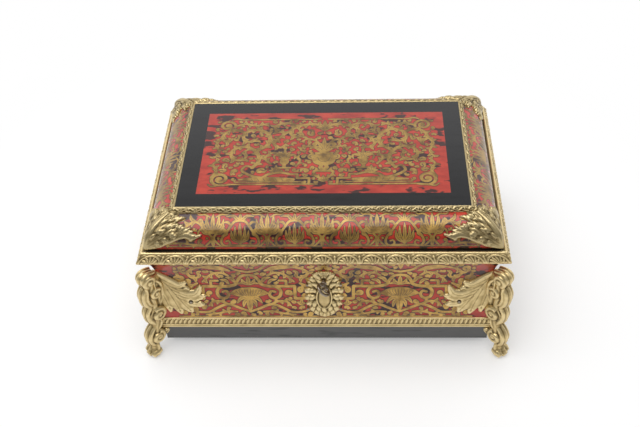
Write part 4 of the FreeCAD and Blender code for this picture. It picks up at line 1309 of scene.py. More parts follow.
class Relief(Drawing):
    """A drawing that also keeps the height of domed strokes; it repeats across if it has a period."""

    def __init__(self, low, high, cell, period=None):
        super().__init__(low, high, cell)
        self.height = np.zeros_like(self.brass)
        self.period = period

    def dome(self, path, widths, heights):
        """Raises a ridge along a path, its width and height changing along it."""
        radii = widths_along(path, widths) / 2
        tops = widths_along(path, heights)
        for (x0, y0), (x1, y1), radius, top in zip(path, path[1:], radii, tops):
            low = np.minimum((x0, y0), (x1, y1)) - radius
            high = np.maximum((x0, y0), (x1, y1)) + radius
            rows, columns = self.window(low, high)
            if self.height[rows, columns].size == 0:
                continue
            x = self.across[columns][None, :] - x0
            y = self.upward[rows][:, None] - y0
            run = x1 - x0
            climb = y1 - y0
            share = np.clip((x * run + y * climb) / max(run ** 2 + climb ** 2, 1e-9), 0, 1)
            away = np.hypot(x - share * run, y - share * climb) / radius
            raised = top * np.sqrt(np.clip(1 - away ** 2, 0, None))
            self.height[rows, columns] = np.maximum(self.height[rows, columns], raised)

    def ridge(self, points, widths, heights):
        path = smooth_path(points, ridge_spacing)
        shifts = [0] if self.period is None else [-self.period, 0, self.period]
        for shift in shifts:
            self.dome(path + np.array([shift, 0]), widths, heights)

    def cast(self, points, widths, heights):
        """A ridge that is also part of the casting's outline."""
        self.stem(points, widths)
        self.ridge(points, widths, heights)

    def groove(self, points, width, depth):
        """Cuts a rounded groove along a path."""
        lowered = np.zeros_like(self.height)
        raised = self.height
        self.height = lowered
        self.dome(smooth_path(points, ridge_spacing), [width, width], [depth, depth])
        self.height = np.maximum(raised - lowered, 0)

    def flatten(self, place, radius, height):
        """Lowers a round seat, as under the head of a pin."""
        away = np.hypot(self.across[None, :] - place[0], self.upward[:, None] - place[1])
        seat = height + seat_slope * np.clip(away - radius, 0, None)
        self.height = np.minimum(self.height, seat)

    def knob(self, place, radius, height):
        """A round knob, as a very short ridge."""
        step = 0.01
        self.ridge([place, (place[0] + step, place[1])], [2 * radius, 2 * radius], [height, height])

    def fillet(self, level, width, height):
        """A plain ridge along the whole pattern."""
        ends = [(0, level), (self.period / 2, level), (self.period, level)]
        self.ridge(ends, [width, width], [height, height])


print("relief tools ready")

# %% [markdown]
# ## Mouldings
# A moulding is its section pushed along the side, with the tile's relief added square to the face and
# both ends cut to a mitre. The number of repeats on a side is whole, so that the pattern meets itself at
# the corners.

# %% Moulding maker
along_step = 0.55


def moulding(name, side, face, back, tile, repeats, body, finish):
    """A mitred moulding from a face profile, the points that close its back, and a relief tile."""
    run = side_run(side)[0]
    columns = int(2 * run / along_step)
    share = np.linspace(-1, 1, columns + 1)
    turn = (share + 1) / 2 * repeats * tile.period % tile.period
    along_face, up_face = np.meshgrid(turn, face[:, 0])
    height = tile.at(tile.height, np.column_stack([along_face.ravel(), up_face.ravel()]))
    height = height.reshape(up_face.shape)
    inset = face[:, 1:2] + height * face[:, 3:4]
    level = face[:, 2:3] + height * face[:, 4:5]
    back = np.array(back, float)
    inset = np.vstack([inset, np.repeat(back[:, :1], columns + 1, axis=1)])
    level = np.vstack([level, np.repeat(back[:, 1:], columns + 1, axis=1)])
    points = on_side(side, share * (run - inset), inset, level).reshape(-1, 3)
    rows = len(inset)
    number = np.arange(rows * (columns + 1)).reshape(rows, -1)
    upper = np.roll(number, -1, axis=0)
    quads = np.stack([number[:, :-1], number[:, 1:], upper[:, 1:], upper[:, :-1]], axis=-1)
    faces = quads.reshape(-1, 4).tolist()
    faces.append(number[::-1, 0].tolist()[::-1])
    faces.append(number[::-1, -1].tolist())
    piece = new_piece(name, points, faces, [finish])
    gild(piece, body, name.replace("_gilt", ""))


def round_the_box(name, face, back, tile, body, finish):
    for side in quarter_turns:
        run = side_run(side)[0] - face[:, 1].min()
        repeats = max(1, round(2 * run / tile.period))
        moulding(name + "_" + side + "_gilt", side, face, back, tile, repeats, body, finish)


print("moulding maker ready, steps of", along_step, "mm")

# %% [markdown]
# ## Rim of the lid
# The widest moulding runs round the foot of the lid: a row of scallops, each with gadroons that fan out
# from a bud, and a drop with a pearl between two scallops. A flat lip closes it above.

# %% Rim moulding
rim_pattern = 24.0
rim_height = 12.5
rim_seat_height = 8.8
rim_lip_inset = 4.5
rim_lip_end = 6.3
rim_relief_share = 0.75
scallop_end = 0.02
gadroon_spread = np.radians(np.linspace(-68, 68, 6))


def rim_tile():
    middle = rim_pattern / 2
    tile = Relief((0, 0), (rim_pattern, 16), 0.25, rim_pattern)
    turn = np.linspace(scallop_end, math.pi - scallop_end, 9)
    tile.ridge([(middle + 10.4 * math.cos(a), 2.6 + 8.3 * math.sin(a)) for a in turn], [1.9, 1.9], [1.0, 1.0])
    for angle in math.pi / 2 + gadroon_spread:
        root = (middle + 2.4 * math.cos(angle), 2.0 + 2.0 * math.sin(angle))
        bend = (middle + 5.6 * math.cos(angle + 0.16), 2.2 + 4.6 * math.sin(angle + 0.16))
        tip = (middle + 8.2 * math.cos(angle + 0.30), 2.4 + 6.6 * math.sin(angle + 0.30))
        tile.ridge([root, bend, tip], [1.2, 2.3, 1.6], [0.7, 1.25, 0.8])
    tile.knob((middle, 2.4), 1.7, 1.3)
    tile.ridge([(0, 2.2), (0, 5.0), (0, 7.6)], [2.2, 3.2, 1.0], [0.9, 1.3, 0.6])
    tile.knob((0, 9.6), 1.15, 1.0)
    for flip in (1, -1):
        wing = [(2.2 * flip, 10.4), (4.4 * flip, 11.4), (7.0 * flip, 11.0)]
        tile.ridge(wing, [0.8, 1.5, 0.8], [0.4, 0.8, 0.4])
    tile.fillet(13.2, 1.2, 0.5)
    tile.height *= rim_relief_share
    return tile


rim_section = [(1.0, 0), (0.28, 1.4), (0, 3.3), (1.3, 6.2), (2.9, 9.2), (rim_lip_inset, rim_height)]
rim_path = smooth_path(rim_section, 0.42)
rim_face = profile_through([(inset, lid_level + level) for inset, level in rim_path])
rim_back = [
    (rim_lip_end, lid_level + rim_height), (rim_lip_end, lid_level + rim_seat_height),
    (lid_face_inset, lid_level + rim_seat_height), (lid_face_inset, lid_level),
]
round_the_box("rim_moulding", rim_face, rim_back, rim_tile(), "lid", gilt_bronze)

# %% [markdown]
# ## Base moulding
# Round the foot of the walls runs a narrow row of upright leaves over a plain fillet. The leaves are
# small, under 5 mm apart, each with a rib and a pearl beside its tip.

# %% Base moulding
base_pattern = 4.7
base_inset = 4.0
base_fillet_height = 4.0
base_step = 0.8
base_lip_inset = 5.8
base_behind_veneer = 1.2
base_relief_share = 0.7


def base_tile():
    middle = base_pattern / 2
    tile = Relief((0, 0), (base_pattern, 16), 0.2, base_pattern)
    blade = [(middle - 1.1, 5.6), (middle - 0.5, 8.0), (middle + 0.9, 11.2)]
    rib = [(middle - 1.3, 5.4), (middle - 0.6, 8.2), (middle + 0.8, 11.0)]
    tile.ridge(blade, [2.2, 3.2, 1.2], [0.7, 0.95, 0.5])
    tile.ridge(rib, [0.8, 0.9, 0.5], [1.2, 1.3, 0.7])
    tile.knob((0.2, 10.6), 0.75, 0.6)
    tile.fillet(12.2, 0.9, 0.4)
    tile.fillet(0.9, 1.2, 0.35)
    tile.height *= base_relief_share
    return tile


base_path = even_path([
    (base_inset, base_level), (base_inset, base_level + base_fillet_height),
    (base_inset + base_step, base_level + base_fillet_height + 0.1),
    (base_inset + 0.9, base_level + 7.0), (base_lip_inset, ogee_foot_level),
], 0.45)
base_back_inset = ogee_foot_inset + base_behind_veneer
base_back = [(base_back_inset, ogee_foot_level), (base_back_inset, base_level)]
round_the_box("base_moulding", profile_through(base_path), base_back, base_tile(), "case", gilt_bronze)

# %% [markdown]
# ## Frame of the top
# The top panel is held by a small moulding with a running vine: a wavy stem, a leaf in every bend and a
# pearl between. Its inner edge is plain and stands a little above the panel.

# %% Lid frame
frame_pattern = 14.8
frame_inner_inset = half_depth + box_mm("lid_frame_front")[1].y
frame_low, frame_high = box_mm("lid_frame_front")
frame_edge_height = 2.0
frame_chamfer = 0.9
frame_relief = 1.15
frame_rebate = 2.2
vine_level = 5.0
vine_wave = 1.5


def frame_tile():
    quarter = frame_pattern / 4
    tile = Relief((0, 0), (frame_pattern, 12), 0.2, frame_pattern)
    turn = np.linspace(0, 2 * math.pi, 13)
    wave = [(frame_pattern * a / (2 * math.pi), vine_level + vine_wave * math.sin(a)) for a in turn]
    tile.ridge(wave, [1.3, 1.3], [0.9, 0.9])
    for start, flip in ((0, 1), (2 * quarter, -1)):
        low = vine_level - flip * 0.4
        bend = start + quarter
        leaf = [(start + 0.6, low), (bend, low - flip * 1.7), (start + 1.9 * quarter, low - flip * 1.3)]
        tile.ridge(leaf, [1.2, 2.4, 0.9], [0.7, 1.1, 0.5])
        tip = [(bend, low - flip * 2.4), (start + 1.5 * quarter, low - flip * 2.9)]
        tile.ridge(tip, [1.1, 0.9], [0.8, 0.4])
        tile.knob((bend, vine_level + flip * 0.1), 0.8, 1.0)
    tile.fillet(8.2, 1.0, 0.4)
    return tile


frame_path = smooth_path([
    (frame_inset + 0.6, frame_low.z + frame_edge_height), (frame_inset + 1.0, frame_low.z + 3.6),
    (frame_inset + 2.0, frame_low.z + 4.8), (frame_inset + 3.2, frame_high.z - frame_relief),
    (frame_inner_inset - frame_chamfer, frame_high.z - frame_relief),
], 0.4)
frame_face = profile_through(even_path(
    [(frame_inset, frame_low.z), (frame_inset, frame_low.z + frame_edge_height)] + frame_path.tolist(), 0.4))
frame_back = [
    (frame_inner_inset, frame_high.z - frame_relief - frame_chamfer), (frame_inner_inset, panel_level),
    (frame_inner_inset - frame_rebate, panel_level), (frame_inner_inset - frame_rebate, frame_low.z),
]
round_the_box("lid_frame", frame_face, frame_back, frame_tile(), "lid", shaded_gilt)

# %% [markdown]
# ## Castings on the faces
# Leaves, lid corners and the lock plate are castings that lie on a curved face. Each starts as a drawing
# of rounded strokes. Its outline is sawn as the inlay was, points are sown inside it, and every point is
# raised by the height of the strokes. The edge turns down into the face, so the casting sits on it with
# no gap.

# %% Casting from a relief
sow_every = 3
sow_shift = 0.37
sow_margin = 0.45
casting_edge = 0.35
casting_round = 1.3
casting_sink = -0.25
casting_tolerance = 0.05


def casting_mesh(relief, place, base):
    """Points, triangles and walls of a casting: its drawing raised by a base thickness and its relief."""
    field = np.maximum(relief.brass, -relief.cuts)
    loops = outlines(relief, field, 0, casting_tolerance)
    x, y = np.meshgrid(relief.across[::sow_every], relief.upward[::sow_every])
    step = sow_every * relief.cell
    row = np.round((y.ravel() - relief.low[1]) / step)
    sown = np.column_stack([x.ravel() + sow_shift * step * (row % 2), y.ravel()])
    sown = sown[relief.at(field, sown) < -sow_margin]
    points, faces = fill(loops, [], (0, 0), sown)
    faces = faces[relief.at(field, points[faces].mean(1)) < 0]
    inside = np.clip(-relief.at(field, points) / casting_round, 0, 1)
    raised = casting_edge + (base + relief.at(relief.height, points)) * np.sqrt(inside * (2 - inside))
    world, faces, walls = with_skirt(points, faces, place, raised, casting_sink)
    return world, faces.tolist() + walls.tolist()


def ogee_at_level(level):
    """Distance up the ogee of a level."""
    return np.interp(level, ogee[:, 2], ogee[:, 0])


print("casting tools ready")

# %% [markdown]
# ## Modelling in clay
# The scrolled legs are fully round, so they are built up as a modeller would in clay: rolls of varying
# thickness are laid beside and over each other, and a voxel remesh melts them into one skin. Spirals of
# roll make the volutes.

# %% Clay rolls
roll_sides = 10
ball_rings = 9
ball_end = 0.96


def roll(points, radii):
    """A closed roll along points in millimetres; returns its points and faces."""
    points = np.array(points, float)
    radii = widths_along(points, radii)
    heading = np.gradient(points, axis=0)
    heading /= np.linalg.norm(heading, axis=1)[:, None]
    guide = np.where(np.abs(heading[:, 1:2]) > 0.9, [[1.0, 0, 0]], [[0, 1.0, 0]])
    first = np.cross(guide, heading)
    first /= np.linalg.norm(first, axis=1)[:, None]
    second = np.cross(heading, first)
    angles = np.linspace(0, 2 * math.pi, roll_sides, endpoint=False)
    cosine = np.cos(angles)[None, :, None]
    sine = np.sin(angles)[None, :, None]
    ring = cosine * first[:, None] + sine * second[:, None]
    skin = (points[:, None] + radii[:, None, None] * ring).reshape(-1, 3)
    number = np.arange(len(skin)).reshape(len(points), -1)
    turned = np.roll(number, -1, axis=1)
    quads = np.stack([number[:-1], turned[:-1], turned[1:], number[1:]], axis=-1)
    faces = quads.reshape(-1, 4).tolist()
    faces.append(number[0].tolist()[::-1])
    faces.append(number[-1].tolist())
    return skin, faces


def ball(place, radius):
    """A ball of clay, as a short roll with rounded ends."""
    turn = np.linspace(-math.pi / 2, math.pi / 2, ball_rings)
    points = [(place[0], place[1], place[2] + radius * rise) for rise in np.sin(turn)]
    return roll(points, radius * np.cos(turn * ball_end))


def joined(parts):
    """Several skins as one list of points and faces."""
    points = []
    faces = []
    start = 0
    for skin, skin_faces in parts:
        points.append(np.asarray(skin))
        faces += [[start + corner for corner in face] for face in skin_faces]
        start += len(skin)
    return np.vstack(points), faces


def melted(name, parts, voxel, rounds):
    """One smooth skin round clay parts in millimetres; returns points in millimetres and faces."""
    points, faces = joined(parts)
    rough = new_piece(name, points * MM, faces, [])
    melt = rough.modifiers.new("melt", "REMESH")
    melt.mode = "VOXEL"
    melt.voxel_size = voxel * MM
    ease = rough.modifiers.new("ease", "SMOOTH")
    ease.factor = 0.5
    ease.iterations = rounds
    depsgraph = bpy.context.evaluated_depsgraph_get()
    mesh = bpy.data.meshes.new_from_object(rough.evaluated_get(depsgraph))
    bpy.data.objects.remove(rough)
    skin = np.array([tuple(vertex.co) for vertex in mesh.vertices]) / MM
    faces = [list(polygon.vertices) for polygon in mesh.polygons]
    bpy.data.meshes.remove(mesh)
    return skin, faces


print("clay tools ready")

# %% [markdown]
# ## Legs of the corner mounts
# A leg stands on each corner of the case in the plane of its diagonal. It is a chain of C-scrolls: a
# volute at the top, a smaller turn below it, a large volute at the level of the belly, and a foot of two
# volutes and a toe of three rolls. Three more rolls run down its back as the ribs of a long leaf, and
# flutes fill its cheeks. The first coordinate is outwards along the diagonal, the second across it and
# the third up. The lists give the way of each roll, and its thickness from end to end.

# %% Parts of the leg
volute_steps = 40
volute_eye_share = 0.2
volute_lift = 1.5


def volute(out, level, radius, start, turns, thick, cheek_out):
    """A volute on both cheeks of the leg, with a core between them."""
    parts = []
    angles = math.radians(start) + np.linspace(0, 2 * math.pi * turns, volute_steps)
    reach = np.linspace(1, volute_eye_share, volute_steps) * (radius - thick)
    lift = np.linspace(0, volute_lift, volute_steps)
    for cheek in (-1, 1):
        parts.append(roll(np.column_stack([
            out + reach * np.cos(angles), cheek * (cheek_out + lift), level + reach * np.sin(angles),
        ]), [thick, thick, 0.8 * thick]))
        parts.append(ball((out, cheek * (cheek_out + 1.2), level), 0.28 * radius))
    core = [(out, -cheek_out, level), (out, 0, level), (out, cheek_out, level)]
    parts.append(roll(core, [0.86 * radius, 0.92 * radius, 0.86 * radius]))
    return parts


def flute(points, cheek, thick):
    """A rib of leaf that runs down one cheek of the leg."""
    return roll(smooth_path([(out, cheek * across, level) for out, across, level in points], 0.9), thick)


def bar(points, shift, spacing, thick):
    """A roll in a plane beside the leg's middle, from distances outwards and levels."""
    return roll(smooth_path([(out, shift, level) for out, level in points], spacing), thick)


print("leg parts ready")

# %% Leg
leg_volutes = [
    (-6.0, 107.5, 9.2, -60, 1.3, 2.7, 5.8),
    (-10.0, 87.0, 8.6, 150, -1.2, 2.6, 5.6),
    (-8.4, 58.0, 11.0, 60, 1.35, 3.1, 6.0),
    (-2.8, 26.5, 10.2, 110, 1.35, 2.9, 5.6),
    (-13.0, 28.0, 6.4, 60, -1.1, 2.3, 4.6),
]
leg_back = [
    (-12, 114.0), (-3, 115.4), (2.6, 110.5), (0.6, 103.0), (-2.4, 99.5), (2.2, 95), (4.6, 88), (3.6, 78),
    (0.6, 70.5), (4.4, 63), (3.4, 54), (-0.6, 46), (-2.4, 42), (3.6, 36), (7.4, 28), (6.2, 19), (2.6, 13.2),
    (6.0, 8), (8.0, 3),
]
back_ribs = [(-3.8, 2.9, 1.8), (0, 3.3, 0.8), (3.8, 2.9, 1.8)]
rib_start = 1.8
rib_swell = [1.0, 0.7, 1.0, 1.0, 0.75, 1.0, 0.7, 1.0, 0.8, 1.0]
leg_body = [(-8, 107), (-8, 99), (-6, 88), (-6.5, 74), (-6, 60), (-5, 44), (-2.4, 27), (0.6, 14), (3.4, 5)]
leg_web = [(-13, 110), (-15, 92), (-15, 76), (-14, 60), (-13, 46)]
leg_flutes = [
    ([(0, 4.4, 103), (-1, 5.4, 96), (0.6, 5.6, 86), (-2, 5.4, 76), (-8, 5.2, 70)], [1.0, 2.0, 2.2, 2.0, 1.0]),
    ([(-12, 4.4, 104), (-17, 5.2, 96), (-18, 5.0, 80), (-14, 5.2, 70)], [1.0, 2.2, 2.4, 1.0]),
    ([(-10, 4.6, 50), (-9, 5.4, 43), (-5, 5.4, 37), (-3, 4.6, 36)], [1.2, 2.4, 2.2, 1.0]),
    ([(4, 4.0, 18), (0, 5.0, 14), (1, 5.4, 9), (5, 4.8, 6)], [1.0, 2.2, 2.6, 1.6]),
]
toe_spread = 4.4


def leg_clay():
    parts = []
    for size in leg_volutes:
        parts += volute(*size)
    for shift, thick, drop in back_ribs:
        rib = [(out - drop, level) for out, level in leg_back]
        parts.append(bar(rib, shift, 1.1, [rib_start] + [swell * thick for swell in rib_swell]))
    for shift in (-2.4, 2.4):
        parts.append(bar(leg_body, shift, 1.5, [4.4, 4.2, 5.0, 4.4, 4.4, 3.8]))
    parts.append(bar(leg_web, 0, 1.5, [5.0, 6.0, 6.0, 5.0]))
    for cheek in (-1, 1):
        for points, thick in leg_flutes:
            parts.append(flute(points, cheek, thick))
    for shift in (-toe_spread, 0, toe_spread):
        toe = [(-3.0, shift, 5.0), (3.0, 1.1 * shift, 5.4), (10.2 - 0.5 * abs(shift), 1.1 * shift, 3.0)]
        parts.append(roll(smooth_path(toe, 1.0), [3.4, 5.0, 3.4]))
    return parts


leg_points, leg_faces = melted("leg_clay", leg_clay(), voxel=0.6, rounds=3)
leg_points[:, 2] = np.maximum(leg_points[:, 2], 0)
print("leg:", len(leg_faces), "faces")

# %% [markdown]
# ## Leaves of the corner mounts
# From each leg a broad acanthus leaf spreads over either face. Its lobes run from the top of the leg
# outwards and down. They overlap into one softly fluted sheet and part only near the edge, where pointed
# fingers stand out and the upper tips curl up. A flat sheet with a bump would not do, because the tips
# show against the wall. The drawing measures along the face from the corner and upwards from the floor.

# %% Leaf
leaf_lobes = [
    ([(12, 106), (19, 96), (27, 84), (36, 71), (42, 62)], [7, 16, 24, 22, 9], [1.4, 1.9, 2.1, 1.9, 1.0]),
    ([(4, 108), (8, 94), (10, 80), (12, 66)], [10, 15, 15, 8], [1.0, 1.3, 1.3, 0.9]),
    ([(12, 98), (17, 80), (21, 66), (22, 57)], [12, 18, 15, 4], [1.1, 1.6, 1.5, 0.9]),
    ([(16, 101), (27, 93), (34, 90), (40, 93.5)], [8, 11, 10, 5], [1.4, 2.0, 2.1, 1.6]),
    ([(22, 92), (34, 85), (43, 85.5)], [8, 9, 4], [1.5, 2.0, 1.2]),
    ([(26, 86), (40, 79), (50, 80), (55, 88)], [10, 13, 12, 5], [1.5, 2.1, 2.2, 1.5]),
    ([(30, 80), (46, 74), (58, 77)], [10, 12, 5], [1.5, 2.1, 1.3]),
    ([(32, 76), (46, 68), (56, 66)], [10, 12, 5], [1.5, 2.0, 1.2]),
    ([(30, 78), (39, 65), (44, 57)], [12, 16, 5], [1.5, 1.9, 1.1]),
    ([(22, 86), (29, 69), (33, 55)], [12, 18, 5], [1.4, 1.9, 1.1]),
]
leaf_base = 0.7
leaf_pin_place = (44.5, 70.5)
finger_bend = 0.75
finger_turn = 0.5


def way(angle):
    """A step of length 1 at an angle."""
    return np.array([math.cos(angle), math.sin(angle)])


def cast_lobe(relief, points, widths, heights, fingers, finger_length):
    """A broad lobe with pointed fingers on both sides and a fine groove down its middle."""
    relief.cast(points, widths, heights)
    path = smooth_path(points, ridge_spacing)
    for share in fingers:
        k = int(share * (len(path) - 3)) + 1
        heading = path[k + 1] - path[k - 1]
        angle = math.atan2(heading[1], heading[0])
        for side in (-1, 1):
            bend = path[k] + 0.6 * finger_length * way(angle + finger_bend * side)
            tip = path[k] + finger_length * way(angle + finger_turn * side)
            relief.cast([path[k], bend, tip], [4.6, 4.4, 1.8], [1.6, 1.5, 0.9])
    relief.groove(points, 1.0, 0.24)


def leaf_relief():
    relief = Relief((0, 44), (64, 114), 0.25)
    for points, widths, heights in leaf_lobes:
        cast_lobe(relief, points, widths, heights, (0.82,), 5.0)
    relief.flatten(leaf_pin_place, 2.2, 1.2)
    return relief


def corner_place(flip):
    """Points on the face beside a corner, in the leg's coordinates, from distances off it and levels."""
    def place(off_corner, level, raised):
        inset, height = on_profile(ogee, ogee_at_level(level), raised)
        return np.column_stack([
            -(off_corner + inset) / math.sqrt(2), flip * (off_corner - inset) / math.sqrt(2), height,
        ])
    return place


def flipped(faces):
    return [face[::-1] for face in faces]


leaf = leaf_relief()
right_leaf = casting_mesh(leaf, corner_place(1), leaf_base)
left_points, left_faces = casting_mesh(leaf, corner_place(-1), leaf_base)
mount_points, mount_faces = joined([(leg_points, leg_faces), right_leaf, (left_points, flipped(left_faces))])
corners = {"front_left": (-1, -1), "front_right": (1, -1), "back_right": (1, 1), "back_left": (-1, 1)}


def stand_at_corner(points, name):
    """Points of the leg's coordinates, turned and moved to a corner of the casket."""
    x_sign, y_sign = corners[name]
    angle = math.atan2(y_sign, x_sign)
    out, across, level = np.asarray(points).T
    x = out * math.cos(angle) - across * math.sin(angle) + x_sign * half_width
    y = out * math.sin(angle) + across * math.cos(angle) + y_sign * half_depth
    return np.column_stack([x, y, level])


for name in corners:
    points = stand_at_corner(mount_points, name) * MM
    piece = new_piece("corner_mount_" + name + "_gilt", points, mount_faces, [gilt_bronze])
    gild(piece, "case", "corner_mount_" + name)

# %% [markdown]
# ## Corner mounts of the lid
# On the corners of the quarter round sit leafy castings: a rib down the mitre, a sheet of low leaves that
# sweeps out from it along the front and, shorter, along the side, and ragged rows of small leaves over
# that. The drawing is unrolled round the corner, so that one casting covers both faces; near the mitre
# the outward direction turns smoothly from one face to the other.

# %% Leaves of the lid mounts
lid_leaves = [
    ([(0, 1.5), (10, 5.5), (22, 11.0), (32, 14.6)], [4, 9, 10, 6], [1.0, 1.5, 1.6, 1.5]),
    ([(26, 13.0), (36, 15.4), (44, 13.0), (50, 15.0)], [7, 7.4, 6, 3], [1.4, 2.0, 1.8, 1.1]),
    ([(22, 14.0), (32, 18.6), (40, 18.4)], [6, 6, 3], [1.4, 1.9, 1.1]),
    ([(1, 6), (9, 12.5), (19, 17.5), (28, 21.0)], [8, 12, 9, 3], [1.2, 1.3, 1.3, 1.0]),
    ([(1, 14), (8, 20.5), (15, 24.0), (21, 25.4)], [9, 12, 8, 3], [1.2, 1.4, 1.3, 1.0]),
    ([(1, 24), (6, 29.2), (11, 31.0), (16, 30.6)], [9, 10, 7, 3], [1.2, 1.4, 1.3, 1.0]),
]
tuft_rows = [(11, 0.35, 1.25, 3), (18, 0.42, 1.30, 4), (25, 0.50, 1.35, 5), (32, 0.62, 1.40, 5)]
tuft_half_length = 3.75
tuft_lean = 0.5
tuft_droop = 0.35
tuft_curl = 0.8


def lid_tufts():
    """Small leaves in rows round the foot of the mitre, leaning to either side by turns."""
    for radius, first, last, count in tuft_rows:
        for k in range(count):
            angle = first + (last - first) * k / (count - 1)
            start = radius * way(angle)
            lean = angle - tuft_droop + tuft_lean * (-1) ** k
            bend = start + tuft_half_length * way(lean)
            yield [start, bend, bend + tuft_half_length * way(lean - tuft_curl)]


def top_curl():
    """A small scroll near the top of the mount."""
    for k in range(22):
        yield np.array([7, 31]) + (3.8 - 0.14 * k) * way(0.42 * k)


print(len(list(lid_tufts())), "small leaves on a face of a lid mount")

# %% Lid mounts
side_share = 0.72
mitre_blend = 2.6
lid_mount_base = 0.6


def lid_mount_relief():
    relief = Relief((-42, 0), (60, band_top - 0.2), 0.25)
    relief.stem([(0, 6), (2, 16), (2, 34)], [6, 16, 20])
    for reach in (1, -side_share):
        for points, widths, heights in lid_leaves:
            cast_lobe(relief, [(reach * x, y) for x, y in points], widths, heights, (0.40, 0.66), 4.8)
        for points in lid_tufts():
            tuft = [(reach * x, y) for x, y in points]
            relief.cast(tuft, [3.0, 5.4, 2.2], [1.3, 2.5, 1.4])
            relief.groove(tuft, 0.9, 0.5)
    for reach in (1, -side_share):
        relief.ridge([(reach * x, y) for x, y in top_curl()], [1.6, 1.2], [2.8, 2.4])
    relief.cast([(0, 1.5), (0, 12), (0, 24), (0, 36)], [3, 6, 7, 6], [1.4, 2.4, 2.6, 2.0])
    relief.groove([(0, 3), (0, 18), (0, 35)], 1.6, 0.6)
    return relief


def lid_corner_place(long_flip):
    """Points round a corner of the lid, in the leg's coordinates, from distances off the mitre."""
    def place(off_mitre, up_face, raised):
        inset, level = on_profile(ovolo, up_face, 0)
        lifted_inset, lifted_level = on_profile(ovolo, up_face, raised)
        out = inset - lifted_inset
        turn = np.clip(off_mitre / mitre_blend, -1, 1)
        across = off_mitre / math.sqrt(2) + out * turn / math.sqrt(2)
        outward = -(np.abs(off_mitre) + 2 * inset) / math.sqrt(2) + out * np.sqrt(1 - turn ** 2 / 2)
        return np.column_stack([outward, long_flip * across, lifted_level])
    return place


lid_relief = lid_mount_relief()
for name, (x_sign, y_sign) in corners.items():
    long_flip = -x_sign * y_sign
    points, faces = casting_mesh(lid_relief, lid_corner_place(-long_flip), lid_mount_base)
    faces = faces if long_flip < 0 else flipped(faces)
    points = stand_at_corner(points, name) * MM
    piece = new_piece("lid_mount_" + name + "_gilt", points, faces, [shaded_gilt])
    gild(piece, "lid", "lid_mount_" + name)

# %% [markdown]
# ## Lock plate
# The lock plate is a cartouche on the belly of the front: a smooth shield under a keyhole, inside two
# rings of curling leaves, with three larger leaves above and a drop below. It is cast like the leaves,
# and the keyhole is cut through the drawing.

# %% Leaves and keyhole of the lock plate
plate_low, plate_high = box_mm("escutcheon")
plate_foot = plate_low.z
plate_top = plate_high.z
plate_height = plate_top - plate_foot
plate_half_width = plate_high.x
plate_middle = plate_foot + plate_height / 2
plate_base = 0.5
plate_margin = 2
pin_off_middle = 16.8
plate_pins = [
    (side * pin_off_middle, plate_foot + share * plate_height) for side in (-1, 1) for share in (0.26, 0.74)
]
leaf_rings = [(20, 0.62, 0.93, 5.4, 2.3), (14, 0.45, 0.74, 5.0, 3.0)]
key_level = (box_mm("key")[0].z + box_mm("key")[1].z) / 2
keyhole_radius = 2.5
keyhole_half_width = 1.5
keyhole_half_length = 4.1


def plate_lobe(angle, root_share, tip_share):
    """A leaf of the plate's rings, curling away from the top or the foot of the plate."""
    ahead = way(angle)
    edge = np.array([plate_half_width, plate_height / 2]) * ahead
    side = np.array([-ahead[1], ahead[0]]) * (1 if ahead[0] < 0 else -1)
    middle = np.array([0, plate_middle])
    bend = middle + (root_share + tip_share) / 2 * edge - 0.8 * side
    return [middle + root_share * edge, bend, middle + tip_share * edge + 1.8 * side]


def cut_keyhole(relief):
    x = relief.across[None, :]
    y = relief.upward[:, None] - key_level
    eye = np.hypot(x, y) - keyhole_radius
    slot = np.maximum(np.abs(x) - keyhole_half_width, np.abs(y + keyhole_half_length) - keyhole_half_length)
    relief.cuts = np.minimum(relief.cuts, np.minimum(eye, slot))


print("plate", round(2 * plate_half_width, 1), "by", round(plate_height, 1), "mm")

# %% Lock plate
shield_margin = 6.5
shield_share = 0.56
shield_half_width = plate_half_width - shield_margin
shield_half_height = plate_height / 2 - 8.0


def plate_relief():
    low = (-plate_half_width - plate_margin, plate_foot - plate_margin)
    relief = Relief(low, (plate_half_width + plate_margin, plate_top + plate_margin), 0.2)
    ends = [(0, plate_middle - 14), (0, plate_middle + 14)]
    relief.stem(ends, [2 * shield_half_width, 2 * shield_half_width])
    for count, root_share, tip_share, width, height in leaf_rings:
        for k in range(count):
            lobe = plate_lobe(2 * math.pi * (k + 0.5) / count, root_share, tip_share)
            cast_lobe(relief, lobe, [width, 1.2 * width, 0.45 * width],
                      [0.6 * height, height, 0.6 * height], (0.6,), 3.6)
    half_sizes = shield_share * np.array([shield_half_width, shield_half_height])
    ring = [np.array([0, plate_middle - 4]) + half_sizes * way(a) for a in np.linspace(0, 2 * math.pi, 21)]
    relief.ridge(ring, [1.8, 1.8], [2.8, 2.8])
    shield = [(0, plate_middle - 15), (0, plate_middle - 8), (0, plate_middle)]
    relief.ridge(shield, [8, 15, 13], [1.8, 2.6, 1.8])
    for lean in (-1, 0, 1):
        tip = (lean * 9, plate_top - 3.4 - 2 * abs(lean))
        crest = [(lean * 2, plate_top - 14), (lean * 5.5, plate_top - 8), tip]
        cast_lobe(relief, crest, [5, 6.4, 2.6], [1.9, 2.9, 1.5], (0.7,), 4.0)
    drop = [(0, plate_foot + 9), (0, plate_foot + 5), (0, plate_foot + 1.6)]
    relief.cast(drop, [6, 5, 2], [1.8, 2.6, 1.4])
    for place in plate_pins:
        relief.flatten(place, 1.7, 0.9)
    cut_keyhole(relief)
    return relief


def front_place(across, level, raised):
    inset, height = on_profile(ogee, ogee_at_level(level), raised)
    return np.column_stack([across, inset - half_depth, height])


plate_points, plate_faces = casting_mesh(plate_relief(), front_place, plate_base)
plate = new_piece("escutcheon_gilt", plate_points * MM, plate_faces, [gilt_bronze])
gild(plate, "case", "escutcheon")

